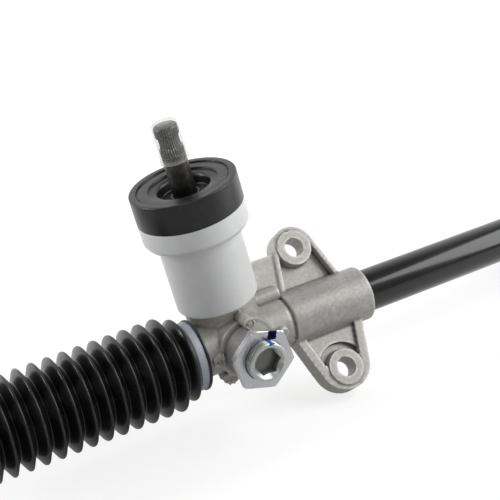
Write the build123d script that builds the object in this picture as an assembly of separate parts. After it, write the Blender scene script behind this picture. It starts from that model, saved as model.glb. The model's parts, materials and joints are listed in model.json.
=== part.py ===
from build123d import *
import math
import os

os.makedirs("parts", exist_ok=True)

# Steering rack, in millimetres. X runs along the rack towards the long tube, -Y is the side with
# the yoke adjuster, Z is up, and the origin is on the rack axis midway between the two ears.

# Rack bar and its teeth
rack_r = 11.0
gear_module = 1.9
pinion_teeth = 7
pressure_angle = 20.0
pinion_helix = 25.0
pinion_tilt = 7.2
rack_teeth = 26
pitch_plane_y = 6.5
rack_addendum = 1.0
rack_dedendum = 2.7
rack_tooth_thickness = 2.25
travel = 70.0

# Pinion
pinion_x = -66.6
pinion_tooth_thickness = 3.57
pinion_addendum = 2.3
pinion_dedendum = 1.44
tooth_length = 34.0
shaft_r = 8.5
shoulder_r = 9.6
foot_journal_r = 6.0
foot_journal_length = 9.0
serration_start = 144.5
serration_end = 166.2
serration_count = 30
serration_depth = 0.6
waist_start = 149.6
waist_end = 159.4
waist_r = 7.5
waist_slope_length = 2.0
shaft_chamfer = 1.0
pinion_bore_gap = 0.5

# Pinion bearing, its clips, the seal and the foot bush
bearing_low = 22.0
bearing_width = 10.0
bearing_outer_r = 17.5
race_thickness = 2.2
ball_count = 8
ball_r = 2.38
ball_gap = 0.03
cage_thickness = 0.9
cage_width = 6.0
circlip_width = 1.2
circlip_reach = 1.6
clip_clearance = 0.1
bearing_clip_gap = 40.0
shaft_clip_gap = 60.0
oil_seal_low = 38.0
oil_seal_width = 7.0
oil_seal_lip_gap = 0.1
oil_seal_case = 2.0
foot_bush_wall = 2.5

# Gear housing, one die casting
housing_left = -110.0
barrel_r = 20.5
barrel_left = -27.0
barrel_right = 39.1
barrel_chamfer = 1.2
shoulder_groove_depth = 1.8
shoulder_groove_width = 2.6
neck_r = 18.5
waist_neck_r = 18.8
rack_bore_r = 12.5
tube_socket_depth = 33.0
tower_r = 23.0
tower_top = 50.0
foot_r = 15.0
foot_floor = 4.0
yoke_boss_r = 22.4
yoke_boss_face = 36.5
lug_r = 4.2
lug_ring_r = 25.6
lug_face = 28.0
lug_mark_r = 2.9
lug_button_r = 1.9
lug_mark_depth = 0.8
lug_angles = (95.0, 172.0, 12.0)
flank_outline = ((-24.5, -9), (-24.5, 15), (-15, 24), (0, 20), (0, -20), (-14, -19))
flank_drop = 11.0

# Ears with the two mounting holes
ear_lean = 36.3
ear_hole_reach = 47.85
ear_hole_r = 7.25
ear_boss_r = 13.35
ear_base = 8.0
ear_front = 9.0
ear_back = 7.0
ear_rim_front = 8.0
upper_ear_end_r = 16.5
upper_ear_left = 26.8
upper_ear_right = 29.0
upper_ear_rim = 3.5
upper_ear_floor = 1.0
lower_ear_end_r = 20.5
lower_ear_end_reach = 43.9
lower_ear_left = 30.3
lower_ear_right = 30.6
lower_ear_rim = 6.8
lower_ear_floor = 4.6
lower_ear_clearance_r = 19.5
lower_ear_clearance_floor = 0.6
gusset_left = -40.6
gusset_top = 48.8
gusset_root = 10.0
gusset_corner = 12.0
gusset_front = 7.0
gusset_back = 1.0
bead_r = 5.8
bead_w = 20.5
bead_offset = 7.5
bead_left = -48.0

# Yoke, its liner, spring, plug and locknut
yoke_r = 13.2
yoke_gap = 0.1
yoke_inner = 6.0
yoke_outer = 26.0
yoke_pocket_depth = 3.0
yoke_ring_inset = 4.0
liner_thickness = 1.2
liner_half_angle = 62.0
liner_length_share = 0.6
plug_r = 14.5
plug_inner = 30.0
plug_face = 48.4
plug_socket_across = 19.0
plug_socket_depth = 9.0
plug_socket_mouth_r = 11.5
plug_mouth_slope = 0.6
plug_edge = 0.8
spring_pocket_r = 9.5
spring_pocket_depth = 4.0
spring_wire = 2.4
spring_r = 7.6
spring_turns = 2.5
o_ring_r = 1.1
o_ring_squeeze = 1.8
nut_across = 41.9
nut_face = 41.55
nut_turn = -17.0
nut_corner_angle = 30.0

# Dust cover and dust seal round the pinion
cover_r = 29.8
cover_wall = 2.4
cover_bottom = 30.8
cover_ledge = 84.5
cover_flange_low_r = 36.0
cover_flange_r = 38.3
cover_flange_full = 88.0
cover_top = 102.0
cover_collar_wall = 2.2
cover_collar_bottom = 36.0
cover_web_gap = 5.0
seal_r = 38.4
seal_top = 123.3
seal_edge = 1.0
seal_rim_inner_r = 33.3
seal_step = 1.4
seal_middle_outer_r = 32.5
seal_middle_inner_r = 24.9
seal_middle_drop = 0.9
seal_inner_outer_r = 24.0
seal_inner_drop = 2.5
seal_hole_r = 18.4
seal_lip_r = 10.9
seal_lip_h = 115.0
seal_lip_thickness = 2.2
seal_web_thickness = 3.0
seal_body_depth = 7.0
seal_skirt_depth = 6.0
seal_skirt_wall = 3.0

# Clear cap over the serrated end
cap_gap = 0.3
cap_wall = 0.8
cap_bottom = 139.8
cap_top = 170.0
cap_floor = 1.2
cap_edge = 1.0

# Rack tube, its bush and the collar for the far boot
tube_r = 16.0
tube_wall = 2.0
tube_right = 324.0
tube_bush_length = 26.0
tube_bush_inset = 4.0
collar_length = 18.0

# Rubber mount and bracket on the tube
clamp_x = 265.0
mount_rubber_r = 24.0
mount_rubber_length = 40.0
mount_foot = 22.0
bracket_thickness = 4.0
bracket_width = 34.0
bracket_hole_reach = 42.0
bracket_hole_r = 5.5
bracket_foot_end = 54.0

# Ball joints and tie rods
ball_joint_r = 12.0
ball_neck_r = 6.0
socket_r = 17.0
socket_reach = 20.0
socket_lip = 8.0
stop_clearance = 2.0
seat_thickness = 1.5
seat_gap = 0.08
swing_limit = 25.0
swing_margin = 15.0
washer_thickness = 1.5
washer_tab = 5.0
washer_tab_width = 8.0
socket_edge = 1.0
stud_r = 7.0
stud_length = 15.0
tie_rod_r = 7.5
tie_rod_length = 300.0
neck_length = 18.0
thread_r = 7.0
thread_length = 70.0
wrench_flat_across = 12.0
wrench_flat_length = 14.0
rod_chamfer = 1.0

# Boots and their clamps, the same on both sides
boot_seat_r = 23.0
boot_seat_length = 10.4
cuff_wall = 3.2
cuff_lip = 2.0
band_width = 6.0
band_r = 25.2
band_thickness = 0.8
boot_wall = 1.5
valley_r = 25.0
first_peak_r = 31.5
peak_r = 34.3
peak_pitch = 11.27
peak_count = 13
first_peak_from_lip = 12.2
small_cuff_length = 18.0
small_cuff_r = 10.4
small_clamp_width = 5.0
small_clamp_thickness = 1.4

# Clearances: seats inside one body, and soft pieces beside moving ones
seat = 0.03
running = 0.08
soft_gap = 0.35

# Worked out from the values above
rack_helix = pinion_helix - pinion_tilt
normal_pitch = math.pi * gear_module
pinion_pitch_r = gear_module * pinion_teeth / 2 / math.cos(math.radians(pinion_helix))
pinion_tip_r = pinion_pitch_r + pinion_addendum
pinion_bore_r = pinion_tip_r + pinion_bore_gap
pinion_y = pitch_plane_y + pinion_pitch_r
rack_pitch = normal_pitch / math.cos(math.radians(rack_helix))
left_ball_x = housing_left - stop_clearance - travel - socket_reach
right_ball_x = tube_right + stop_clearance + travel + socket_reach
stop_to_ball = stop_clearance + travel + socket_reach
tube_left = barrel_right - tube_socket_depth
tube_inner_r = tube_r - tube_wall
foot_bottom = -tooth_length / 2 - foot_journal_length - foot_floor
neck_angle = math.degrees(math.asin(ball_neck_r / ball_joint_r))
inner_race_r = shaft_r + race_thickness
outer_race_r = bearing_outer_r - race_thickness
ball_track_r = (shaft_r + bearing_outer_r) / 2
bearing_top = bearing_low + bearing_width

ear_slope = math.radians(ear_lean)
ear_axis = Vector(0, -math.cos(ear_slope), math.sin(ear_slope))
tilt = math.radians(pinion_tilt)

RACK = Plane(origin=(0, 0, 0), x_dir=(0, 0, 1), z_dir=(1, 0, 0))
PINION = Plane(
    origin=(pinion_x, pinion_y, 0),
    x_dir=(math.cos(tilt), 0, math.sin(tilt)),
    z_dir=(-math.sin(tilt), 0, math.cos(tilt)),
)
YOKE = Plane(origin=(pinion_x, 0, 0), x_dir=(1, 0, 0), z_dir=(0, -1, 0))
EAR = Plane(origin=(0, 0, 0), x_dir=(1, 0, 0), z_dir=ear_axis)
LOWER_EAR = Plane(origin=(0, 0, 0), x_dir=(-1, 0, 0), z_dir=ear_axis)
LEFT = Plane(origin=(left_ball_x, 0, 0), x_dir=(0, 0, 1), z_dir=(-1, 0, 0))
RIGHT = Plane(origin=(right_ball_x, 0, 0), x_dir=(0, 0, 1), z_dir=(1, 0, 0))


def polar(radius, degrees):
    """Point at a radius and angle in a plane."""
    turn = math.radians(degrees)
    return radius * math.cos(turn), radius * math.sin(turn)


def spin(frame, *points):
    """Solid of revolution about the frame's Z axis through (radius, height) points."""
    corners = [frame.from_local_coords((r, 0, h)) for r, h in points]
    return revolve(make_face(Polyline(*corners, close=True)), Axis(frame.origin, frame.z_dir))


def rod(frame, radius, low, high):
    """Plain cylinder on the frame's Z axis between two heights."""
    return frame.offset(low) * Cylinder(radius, high - low, align=(Align.CENTER, Align.CENTER, Align.MIN))


def sleeve(frame, outer, inner, low, high):
    """Tube on the frame's Z axis between two heights."""
    return spin(frame, (inner, low), (outer, low), (outer, high), (inner, high))


def prism(frame, outline, low, high):
    """Sketch in the frame's XY plane, extruded between two heights."""
    return extrude(frame.offset(low) * outline, high - low)


def hexagon(across, turned=0.0):
    """Hexagon sketch by its width across flats."""
    return Rot(0, 0, turned) * RegularPolygon(across / 2, 6, major_radius=False)


def hex_nut(frame, across, hole_r, low, high, turned=0.0):
    """Hexagon nut with its outer corners turned back to a cone."""
    corner_r = across / math.sqrt(3)
    drop = (corner_r - across / 2) * math.tan(math.radians(nut_corner_angle))
    cone = spin(frame, (0, low), (corner_r, low), (corner_r, high - drop), (across / 2, high), (0, high))
    nut = prism(frame, hexagon(across, turned), low, high) & cone
    return nut - rod(frame, hole_r, low - 1, high + 1)


def involute(angle):
    """Involute function of a pressure angle in radians."""
    return math.tan(angle) - angle


def pinion_section():
    """Transverse section of the pinion: involute flanks, relieved below the base circle."""
    helix = math.radians(pinion_helix)
    transverse = math.atan(math.tan(math.radians(pressure_angle)) / math.cos(helix))
    base_r = pinion_pitch_r * math.cos(transverse)
    tip_r = pinion_tip_r
    root_r = pinion_pitch_r - pinion_dedendum
    half_pitch_angle = pinion_tooth_thickness / math.cos(helix) / 2 / pinion_pitch_r
    half_base_angle = half_pitch_angle + involute(transverse)
    gap_half = base_r * (math.pi / pinion_teeth - half_base_angle)
    half_root_angle = math.pi / pinion_teeth - gap_half / root_r
    flank = []
    for step in range(4):
        radius = base_r + (tip_r - base_r) * step / 3
        half = half_base_angle - involute(math.acos(min(1.0, base_r / radius)))
        flank.append((radius, math.degrees(half)))
    root_half = math.degrees(half_root_angle)
    edges = []
    pitch_angle = 360.0 / pinion_teeth
    for tooth in range(pinion_teeth):
        middle = -90.0 + tooth * pitch_angle
        rising = [polar(r, middle - half) for r, half in flank]
        falling = [polar(r, middle + half) for r, half in reversed(flank)]
        foot = polar(root_r, middle - root_half)
        heel = polar(root_r, middle + root_half)
        next_foot = polar(root_r, middle + pitch_angle - root_half)
        edges.append(Line(foot, rising[0]))
        edges.append(Spline(*rising))
        edges.append(ThreePointArc(rising[-1], polar(tip_r, middle), falling[0]))
        edges.append(Spline(*falling))
        edges.append(Line(falling[-1], heel))
        edges.append(ThreePointArc(heel, polar(root_r, middle + pitch_angle / 2), next_foot))
    return make_face(edges)


def pinion_gear():
    """Helical teeth, right-handed, centred on the height where the pinion crosses the rack."""
    twist_per_mm = math.tan(math.radians(pinion_helix)) / pinion_pitch_r
    twist = math.degrees(twist_per_mm * tooth_length)
    section = Pos(0, 0, -tooth_length / 2) * (Rot(0, 0, -twist / 2) * pinion_section())
    teeth = Solid.extrude_linear_with_rotation(
        section.face(), (0, 0, -tooth_length / 2), (0, 0, tooth_length), twist
    )
    return PINION * teeth


def serrations(low, high):
    """Fine V-shaped serrations round the shaft's input end."""
    corners = []
    for tooth in range(serration_count):
        corners.append(polar(shaft_r, 360.0 * tooth / serration_count))
        corners.append(polar(shaft_r - serration_depth, 360.0 * (tooth + 0.5) / serration_count))
    return prism(PINION, make_face(Polyline(*corners, close=True)), low, high)


def clip_groove(inner, outer):
    """Ring cut for a circlip just above the bearing."""
    low = bearing_top + clip_clearance / 2
    return sleeve(PINION, outer, inner, low, low + circlip_width + clip_clearance)


def pinion_shaft():
    """Pinion, its shaft and the serrated end in one turned and cut piece."""
    foot_end = -tooth_length / 2 - foot_journal_length
    top = tooth_length / 2
    shaft = pinion_gear()
    shaft += rod(PINION, foot_journal_r, foot_end, -top)
    shaft += rod(PINION, shoulder_r, top, bearing_low)
    shaft += rod(PINION, shaft_r, bearing_low, serration_start)
    shaft += serrations(serration_start, waist_start)
    shaft += spin(
        PINION,
        (0, waist_start),
        (shaft_r - serration_depth, waist_start),
        (waist_r, waist_start + waist_slope_length),
        (waist_r, waist_end - waist_slope_length),
        (shaft_r - serration_depth, waist_end),
        (0, waist_end),
    )
    shaft += serrations(waist_end, serration_end - shaft_chamfer)
    shaft += spin(
        PINION,
        (0, serration_end - shaft_chamfer),
        (shaft_r - serration_depth, serration_end - shaft_chamfer),
        (shaft_r - serration_depth - shaft_chamfer, serration_end),
        (0, serration_end),
    )
    return shaft - clip_groove(shaft_r - circlip_reach / 2, shaft_r + 1)


def rack_bar():
    """Round bar with a flat, helical rack teeth and a threaded socket in each end."""
    left_end = left_ball_x + socket_reach + washer_thickness
    right_end = right_ball_x - socket_reach - washer_thickness
    bar = rod(RACK, rack_r, left_end, right_end)
    lean = math.radians(rack_helix)
    flank = math.tan(math.radians(pressure_angle))
    tip_y = pitch_plane_y + rack_addendum
    root_y = pitch_plane_y - rack_dedendum
    gap_at_pitch = normal_pitch - rack_tooth_thickness
    overshoot = 5.0
    gap_frame = Plane(
        origin=(0, 0, 0),
        x_dir=(math.cos(lean), 0, -math.sin(lean)),
        z_dir=(math.sin(lean), 0, math.cos(lean)),
    )
    root_half = gap_at_pitch / 2 - rack_dedendum * flank
    top_half = gap_at_pitch / 2 + (rack_addendum + overshoot) * flank
    gap = Polygon(
        (-root_half, root_y),
        (root_half, root_y),
        (top_half, tip_y + overshoot),
        (-top_half, tip_y + overshoot),
        align=None,
    )
    cutter = extrude(gap_frame * gap, 2 * rack_r, both=True)
    toothed = rack_teeth * rack_pitch / 2
    bar -= Pos(pinion_x, tip_y + rack_r / 2, 0) * Box(2 * toothed + rack_pitch, rack_r, 2 * rack_r)
    half_count = rack_teeth // 2
    for index in range(-half_count, half_count + 1):
        bar -= Pos(pinion_x + index * rack_pitch, 0, 0) * cutter
    for frame in (LEFT, RIGHT):
        inner = -socket_reach - washer_thickness
        bar -= rod(frame, stud_r + seat, inner - stud_length - 1, inner + 1)
    return bar


def bearing_race(inner, outer):
    """Bearing race with a ball groove turned into its track side."""
    middle = bearing_low + bearing_width / 2
    race = sleeve(PINION, outer, inner, bearing_low, bearing_top)
    ring = PINION.offset(middle) * Torus(ball_track_r, ball_r + ball_gap)
    return race - ring


def bearing_balls():
    """Ring of separate balls between the two races."""
    middle = bearing_low + bearing_width / 2
    balls = []
    for index in range(ball_count):
        x, y = polar(ball_track_r, 360.0 * index / ball_count)
        balls.append(PINION * Pos(x, y, middle) * Sphere(ball_r))
    return Compound(children=balls)


def bearing_cage():
    """Thin ring with a pocket for each ball."""
    middle = bearing_low + bearing_width / 2
    cage = sleeve(
        PINION,
        ball_track_r + cage_thickness / 2,
        ball_track_r - cage_thickness / 2,
        middle - cage_width / 2,
        middle + cage_width / 2,
    )
    pocket = Pos(ball_track_r, 0, middle) * Rot(0, 90, 0) * Cylinder(ball_r + ball_gap, 4 * cage_thickness)
    for index in range(ball_count):
        cage -= PINION * Rot(0, 0, 360.0 * index / ball_count) * pocket
    return cage


def open_ring(inner, outer, gap_degrees):
    """Flat circlip: a ring with a gap cut out of it."""
    low = bearing_top + clip_clearance
    ring = sleeve(PINION, outer, inner, low, low + circlip_width)
    far = 2 * outer
    left = polar(far, -gap_degrees / 2)
    right = polar(far, gap_degrees / 2)
    wedge = Polygon((0, 0), left, right, align=None)
    return ring - prism(PINION, wedge, low - 1, low + circlip_width + 1)


def pinion_oil_seal():
    """Lip seal between the tower bore and the shaft."""
    lip_r = shaft_r + oil_seal_lip_gap
    top = oil_seal_low + oil_seal_width
    middle = oil_seal_low + oil_seal_width / 2
    return spin(
        PINION,
        (bearing_outer_r - seat, oil_seal_low),
        (bearing_outer_r - seat, top),
        (lip_r + oil_seal_case, top),
        (lip_r, middle + oil_seal_case / 4),
        (lip_r, middle - oil_seal_case / 4),
        (lip_r + oil_seal_case, middle - oil_seal_case),
        (bearing_outer_r - oil_seal_case, top - oil_seal_case),
        (bearing_outer_r - oil_seal_case, oil_seal_low),
    )


def pinion_foot_bush():
    """Plain bush that carries the pinion's foot."""
    low = -tooth_length / 2 - foot_journal_length
    return sleeve(
        PINION,
        foot_journal_r + foot_bush_wall,
        foot_journal_r + running,
        low + seat,
        -tooth_length / 2 - soft_gap,
    )


def ear_outline(left_base, right_base, end_r, end_reach):
    """Outline of one ear in its plane: two sides that run from the barrel to touch a round end."""
    sides = []
    for base in (-left_base, right_base):
        run = math.hypot(base, end_reach - ear_base)
        lean = math.atan2(abs(base), end_reach - ear_base) - math.asin(end_r / run)
        touch = (math.copysign(end_r * math.cos(lean), base), end_reach + end_r * math.sin(lean))
        sides.append(((base, ear_base), touch))
    (low_left, high_left), (low_right, high_right) = sides
    middle = (0, end_reach + end_r)
    return make_face(
        [
            Line(low_left, low_right),
            Line(low_right, high_right),
            ThreePointArc(high_right, middle, high_left),
            Line(high_left, low_left),
        ]
    )


def ear(frame, outline, rim, floor, clearance_r=0.0):
    """Mounting ear: flat back, sunk web inside a rim, and a round boss for the bolt."""
    plate = prism(frame, outline, -ear_back, ear_rim_front)
    inside = offset(outline, -rim)
    plate -= prism(frame, inside, floor, ear_front + 1)
    if clearance_r:
        sunk = inside & (Pos(0, ear_hole_reach) * Circle(clearance_r))
        plate -= prism(frame, sunk, lower_ear_clearance_floor, ear_front + 1)
    boss = Pos(0, ear_hole_reach) * Circle(ear_boss_r)
    return plate + prism(frame, boss, -ear_back, ear_front)


def upper_ear():
    """Ear above the barrel, with a deep web."""
    outline = ear_outline(upper_ear_left, upper_ear_right, upper_ear_end_r, ear_hole_reach)
    return ear(EAR, outline, upper_ear_rim, upper_ear_floor)


def lower_ear():
    """Ear below the barrel: wider, with a shallow web and a round clearance about the boss."""
    outline = ear_outline(lower_ear_right, lower_ear_left, lower_ear_end_r, lower_ear_end_reach)
    return ear(LOWER_EAR, outline, lower_ear_rim, lower_ear_floor, lower_ear_clearance_r)


def ear_gusset():
    """Flat web that ties the upper ear back towards the pinion tower, with a round bead at its root."""
    web = Polygon(
        (gusset_left, gusset_root),
        (0, gusset_root),
        (0, gusset_top - gusset_corner),
        (-upper_ear_end_r, gusset_top),
        (gusset_left, gusset_top),
        align=None,
    )
    bead_at = EAR.from_local_coords((0, bead_w, bead_offset))
    bead = rod(Plane(origin=bead_at, x_dir=(0, 0, 1), z_dir=(1, 0, 0)), bead_r, bead_left, barrel_left)
    return prism(EAR, web, -gusset_back, gusset_front) + bead


def yoke_boss():
    """Round boss for the yoke, with its flat-sided flank and the small cast lugs round it."""
    boss = rod(YOKE, yoke_boss_r, -pinion_y, yoke_boss_face)
    flank = Polygon(*flank_outline, align=None)
    boss += prism(YOKE, flank, -pinion_y, yoke_boss_face - flank_drop)
    for angle in lug_angles:
        x, y = polar(lug_ring_r, angle)
        lug = Pos(x, y) * Circle(lug_r)
        boss += prism(YOKE, lug, 0, lug_face)
        mark = Pos(x, y) * (Circle(lug_mark_r) - Circle(lug_button_r))
        boss -= prism(YOKE, mark, lug_face - lug_mark_depth, lug_face + 1)
    return boss


def gear_housing():
    """Die-cast gear housing: neck, yoke boss, pinion tower, barrel and two ears, then its bores."""
    body = rod(RACK, neck_r, housing_left, pinion_x)
    body += rod(RACK, boot_seat_r, housing_left, housing_left + boot_seat_length)
    body += rod(RACK, waist_neck_r, pinion_x, barrel_left)
    body += spin(
        RACK,
        (0, barrel_left),
        (barrel_r, barrel_left),
        (barrel_r, barrel_right - barrel_chamfer),
        (barrel_r - barrel_chamfer, barrel_right),
        (0, barrel_right),
    )
    groove_floor_r = waist_neck_r - shoulder_groove_depth
    body -= sleeve(RACK, barrel_r, groove_floor_r, barrel_left - shoulder_groove_width, barrel_left)
    body += rod(PINION, tower_r, 0, tower_top)
    body += rod(PINION, foot_r, foot_bottom, 0)
    body += yoke_boss()
    body += upper_ear()
    body += lower_ear()
    body += ear_gusset()
    body -= rod(RACK, rack_bore_r, housing_left - 1, tube_left)
    body -= rod(RACK, tube_r + seat, tube_left, barrel_right + 1)
    body -= rod(PINION, pinion_bore_r, -tooth_length / 2 - soft_gap, bearing_low)
    body -= rod(
        PINION,
        foot_journal_r + foot_bush_wall + seat,
        -tooth_length / 2 - foot_journal_length,
        -tooth_length / 2,
    )
    body -= rod(PINION, bearing_outer_r + seat, bearing_low, tower_top + 1)
    body -= clip_groove(0, bearing_outer_r + circlip_reach / 2)
    body -= rod(YOKE, yoke_r + yoke_gap, 0, plug_inner - 1)
    body -= rod(YOKE, plug_r + seat, plug_inner - 1, yoke_boss_face + 1)
    for frame in (EAR, LOWER_EAR):
        hole = Pos(0, ear_hole_reach) * Circle(ear_hole_r)
        body -= prism(frame, hole, -ear_back - 1, ear_front + 1)
    return body


def yoke():
    """Yoke: a short piston with a saddle for the rack's back and a groove for its ring."""
    saddle_r = rack_r + running + liner_thickness
    block = rod(YOKE, yoke_r, yoke_inner, yoke_outer)
    block -= rod(RACK, saddle_r, pinion_x - 2 * yoke_r, pinion_x + 2 * yoke_r)
    ring_low = yoke_outer - yoke_ring_inset - o_ring_r
    block -= sleeve(YOKE, yoke_r + 1, yoke_r - o_ring_squeeze - seat, ring_low, ring_low + 2 * o_ring_r)
    block -= rod(YOKE, spring_pocket_r, yoke_outer - yoke_pocket_depth, yoke_outer + 1)
    return block


def yoke_o_ring():
    """Rubber ring in the yoke's groove, drawn as squeezed between groove and bore."""
    ring_low = yoke_outer - yoke_ring_inset - o_ring_r
    return sleeve(
        YOKE,
        yoke_r + yoke_gap - seat,
        yoke_r - o_ring_squeeze,
        ring_low + seat,
        ring_low + 2 * o_ring_r - seat,
    )


def yoke_liner():
    """Thin curved slide liner between the yoke's saddle and the rack."""
    inner = rack_r + running
    half = liner_half_angle
    arc = make_face(
        [
            ThreePointArc(polar(inner, 180 - half), polar(inner, 180), polar(inner, 180 + half)),
            Line(polar(inner, 180 + half), polar(inner + liner_thickness - seat, 180 + half)),
            ThreePointArc(
                polar(inner + liner_thickness - seat, 180 + half),
                polar(inner + liner_thickness - seat, 180),
                polar(inner + liner_thickness - seat, 180 - half),
            ),
            Line(polar(inner + liner_thickness - seat, 180 - half), polar(inner, 180 - half)),
        ]
    )
    across = Plane(origin=(pinion_x, 0, 0), x_dir=(0, 1, 0), z_dir=(1, 0, 0))
    return extrude(across * arc, yoke_r * liner_length_share, both=True)


def yoke_spring():
    """Square-wire coil spring that presses the yoke on the rack."""
    low = yoke_outer - yoke_pocket_depth + spring_wire / 2
    high = plug_inner + spring_pocket_depth - spring_wire / 2
    path = Helix(pitch=(high - low) / spring_turns, height=high - low, radius=spring_r)
    section = Plane(origin=path @ 0, x_dir=(1, 0, 0), z_dir=path % 0) * Rectangle(spring_wire, spring_wire)
    return YOKE * (Pos(0, 0, low) * sweep(section, path=path, is_frenet=True))


def yoke_plug():
    """Threaded adjuster plug with a hexagon socket and a spring pocket."""
    plug = spin(
        YOKE,
        (0, plug_inner),
        (plug_r, plug_inner),
        (plug_r, plug_face - plug_edge),
        (plug_r - plug_edge, plug_face),
        (0, plug_face),
    )
    socket_floor = plug_face - plug_socket_depth
    plug -= prism(YOKE, hexagon(plug_socket_across), socket_floor, plug_face + 1)
    mouth_depth = (plug_socket_mouth_r - plug_socket_across / 2) * plug_mouth_slope
    plug -= spin(
        YOKE,
        (0, plug_face - mouth_depth),
        (plug_socket_across / 2, plug_face - mouth_depth),
        (plug_socket_mouth_r, plug_face),
        (plug_socket_mouth_r, plug_face + 1),
        (0, plug_face + 1),
    )
    return plug - rod(YOKE, spring_pocket_r, plug_inner - 1, plug_inner + spring_pocket_depth)


def dust_cover():
    """White cover: bell below, flange above, and an inner collar that grips the tower."""
    inner = cover_r - cover_wall
    collar = tower_r + seat
    web_low = tower_top + seat
    web_high = web_low + cover_wall
    return spin(
        PINION,
        (inner, cover_bottom),
        (cover_r, cover_bottom),
        (cover_r, cover_ledge),
        (cover_flange_low_r, cover_ledge),
        (cover_flange_r, cover_flange_full),
        (cover_flange_r, cover_top),
        (cover_flange_r - cover_wall, cover_top),
        (cover_flange_r - cover_wall, cover_flange_full),
        (cover_flange_low_r - cover_wall, cover_ledge + cover_wall),
        (inner, cover_ledge + cover_wall),
        (inner, web_high),
        (shaft_r + cover_web_gap, web_high),
        (shaft_r + cover_web_gap, web_low),
        (collar, web_low),
        (collar, cover_collar_bottom),
        (collar + cover_collar_wall, cover_collar_bottom),
        (collar + cover_collar_wall, web_low),
        (inner, web_low),
    )


def dust_seal():
    """Black rubber seal: rim on the cover, two steps down to the hole and a lip round the shaft."""
    low = cover_top + seat
    skirt_r = cover_flange_r - cover_wall - seat
    middle = seal_top - seal_middle_drop
    inner = seal_top - seal_inner_drop
    under = seal_top - seal_body_depth
    lip_low = seal_lip_h - seal_lip_thickness
    return spin(
        PINION,
        (seal_r, low),
        (seal_r, seal_top - seal_edge),
        (seal_r - seal_edge, seal_top),
        (seal_rim_inner_r, seal_top),
        (seal_middle_outer_r, seal_top - seal_step),
        (seal_middle_inner_r, middle),
        (seal_inner_outer_r, inner),
        (seal_hole_r, inner),
        (seal_hole_r, lip_low),
        (seal_lip_r, lip_low),
        (seal_lip_r, seal_lip_h),
        (shaft_r + soft_gap, seal_lip_h),
        (shaft_r + soft_gap, lip_low - seal_web_thickness),
        (seal_hole_r, lip_low - seal_web_thickness),
        (seal_hole_r + seal_web_thickness, under),
        (skirt_r - seal_skirt_wall, under),
        (skirt_r - seal_skirt_wall, low - seal_skirt_depth),
        (skirt_r, low - seal_skirt_depth),
        (skirt_r, low),
    )


def shaft_cap():
    """Clear cup pushed over the serrated end."""
    inner = shaft_r + cap_gap
    outer = inner + cap_wall
    floor = cap_top - cap_floor
    return spin(
        PINION,
        (inner, cap_bottom),
        (outer, cap_bottom),
        (outer, cap_top - cap_edge),
        (outer - cap_edge, cap_top),
        (0, cap_top),
        (0, floor),
        (inner, floor),
    )


def mount_rubber():
    """Rubber mount on the tube: round over the top, flat on its foot."""
    half = mount_rubber_length / 2
    frame = Plane(origin=(clamp_x, 0, 0), x_dir=(0, ear_axis.Z, -ear_axis.Y), z_dir=(1, 0, 0))
    outline = Circle(mount_rubber_r) + Pos(0, -mount_foot / 2) * Rectangle(2 * mount_rubber_r, mount_foot)
    outline &= Pos(0, (2 * mount_rubber_r - mount_foot) / 2) * Rectangle(
        4 * mount_rubber_r, 2 * mount_rubber_r + mount_foot
    )
    outline -= Circle(tube_r + seat)
    return prism(frame, outline, -half, half)


def mounting_bracket():
    """Pressed strap over the rubber mount, with a bolt foot on each side."""
    inner = mount_rubber_r + seat
    outer = inner + bracket_thickness
    frame = Plane(origin=(clamp_x, 0, 0), x_dir=(0, ear_axis.Z, -ear_axis.Y), z_dir=(1, 0, 0))
    foot_top = -mount_foot + bracket_thickness
    legs = Pos(0, -mount_foot / 2) * Rectangle(2 * outer, mount_foot)
    feet = Pos(0, -mount_foot + bracket_thickness / 2) * Rectangle(2 * bracket_foot_end, bracket_thickness)
    hollow = Circle(inner) + Pos(0, -mount_foot / 2 - 1) * Rectangle(2 * inner, mount_foot + 2)
    strap = (Circle(outer) & Pos(0, outer / 2) * Rectangle(2 * outer, outer)) + legs + feet - hollow
    bracket = prism(frame, strap, -bracket_width / 2, bracket_width / 2)
    for side in (1, -1):
        at = frame.from_local_coords((side * bracket_hole_reach, foot_top, 0))
        drill = Plane(origin=at, x_dir=(1, 0, 0), z_dir=ear_axis)
        bracket -= rod(drill, bracket_hole_r, -2 * bracket_thickness, bracket_thickness)
    return bracket


def boot(frame):
    """Rubber bellows in V folds between a cuff on the housing and a small cuff on the tie rod."""
    lip = -stop_to_ball - boot_seat_length
    cuff_r = boot_seat_r + cuff_wall
    groove_r = band_r - band_thickness
    band_low = lip + cuff_lip
    band_high = band_low + band_width
    seat_r = boot_seat_r + seat
    first = lip + first_peak_from_lip
    outer = [(seat_r, lip), (cuff_r, lip), (cuff_r, band_low), (groove_r, band_low), (groove_r, band_high)]
    inner = []
    start = band_high + boot_wall / 2
    outer.append((valley_r, start))
    inner.append((seat_r, start))
    peaks = [(first, first_peak_r)] + [
        (first + peak_pitch * (index + 1), peak_r) for index in range(peak_count)
    ]
    for height, radius in peaks:
        outer.append((radius, height))
        outer.append((valley_r, height + peak_pitch / 2))
        inner.append((radius - 2 * boot_wall, height))
        inner.append((valley_r - boot_wall, height + peak_pitch / 2))
    end = peaks[-1][0] + peak_pitch / 2
    cuff_start = end + 2 * peak_pitch / 3
    small_r = tie_rod_r + running
    outer += [(small_cuff_r, cuff_start), (small_cuff_r, cuff_start + small_cuff_length)]
    inner += [(small_r, cuff_start + boot_wall)]
    outer += [(small_r, cuff_start + small_cuff_length)]
    return spin(frame, *outer, *reversed(inner))


def boot_end_height():
    """Height of the small cuff's start, measured outward from the ball centre."""
    lip = -stop_to_ball - boot_seat_length
    return lip + first_peak_from_lip + peak_pitch * (peak_count + 0.5 + 2 / 3)


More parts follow.
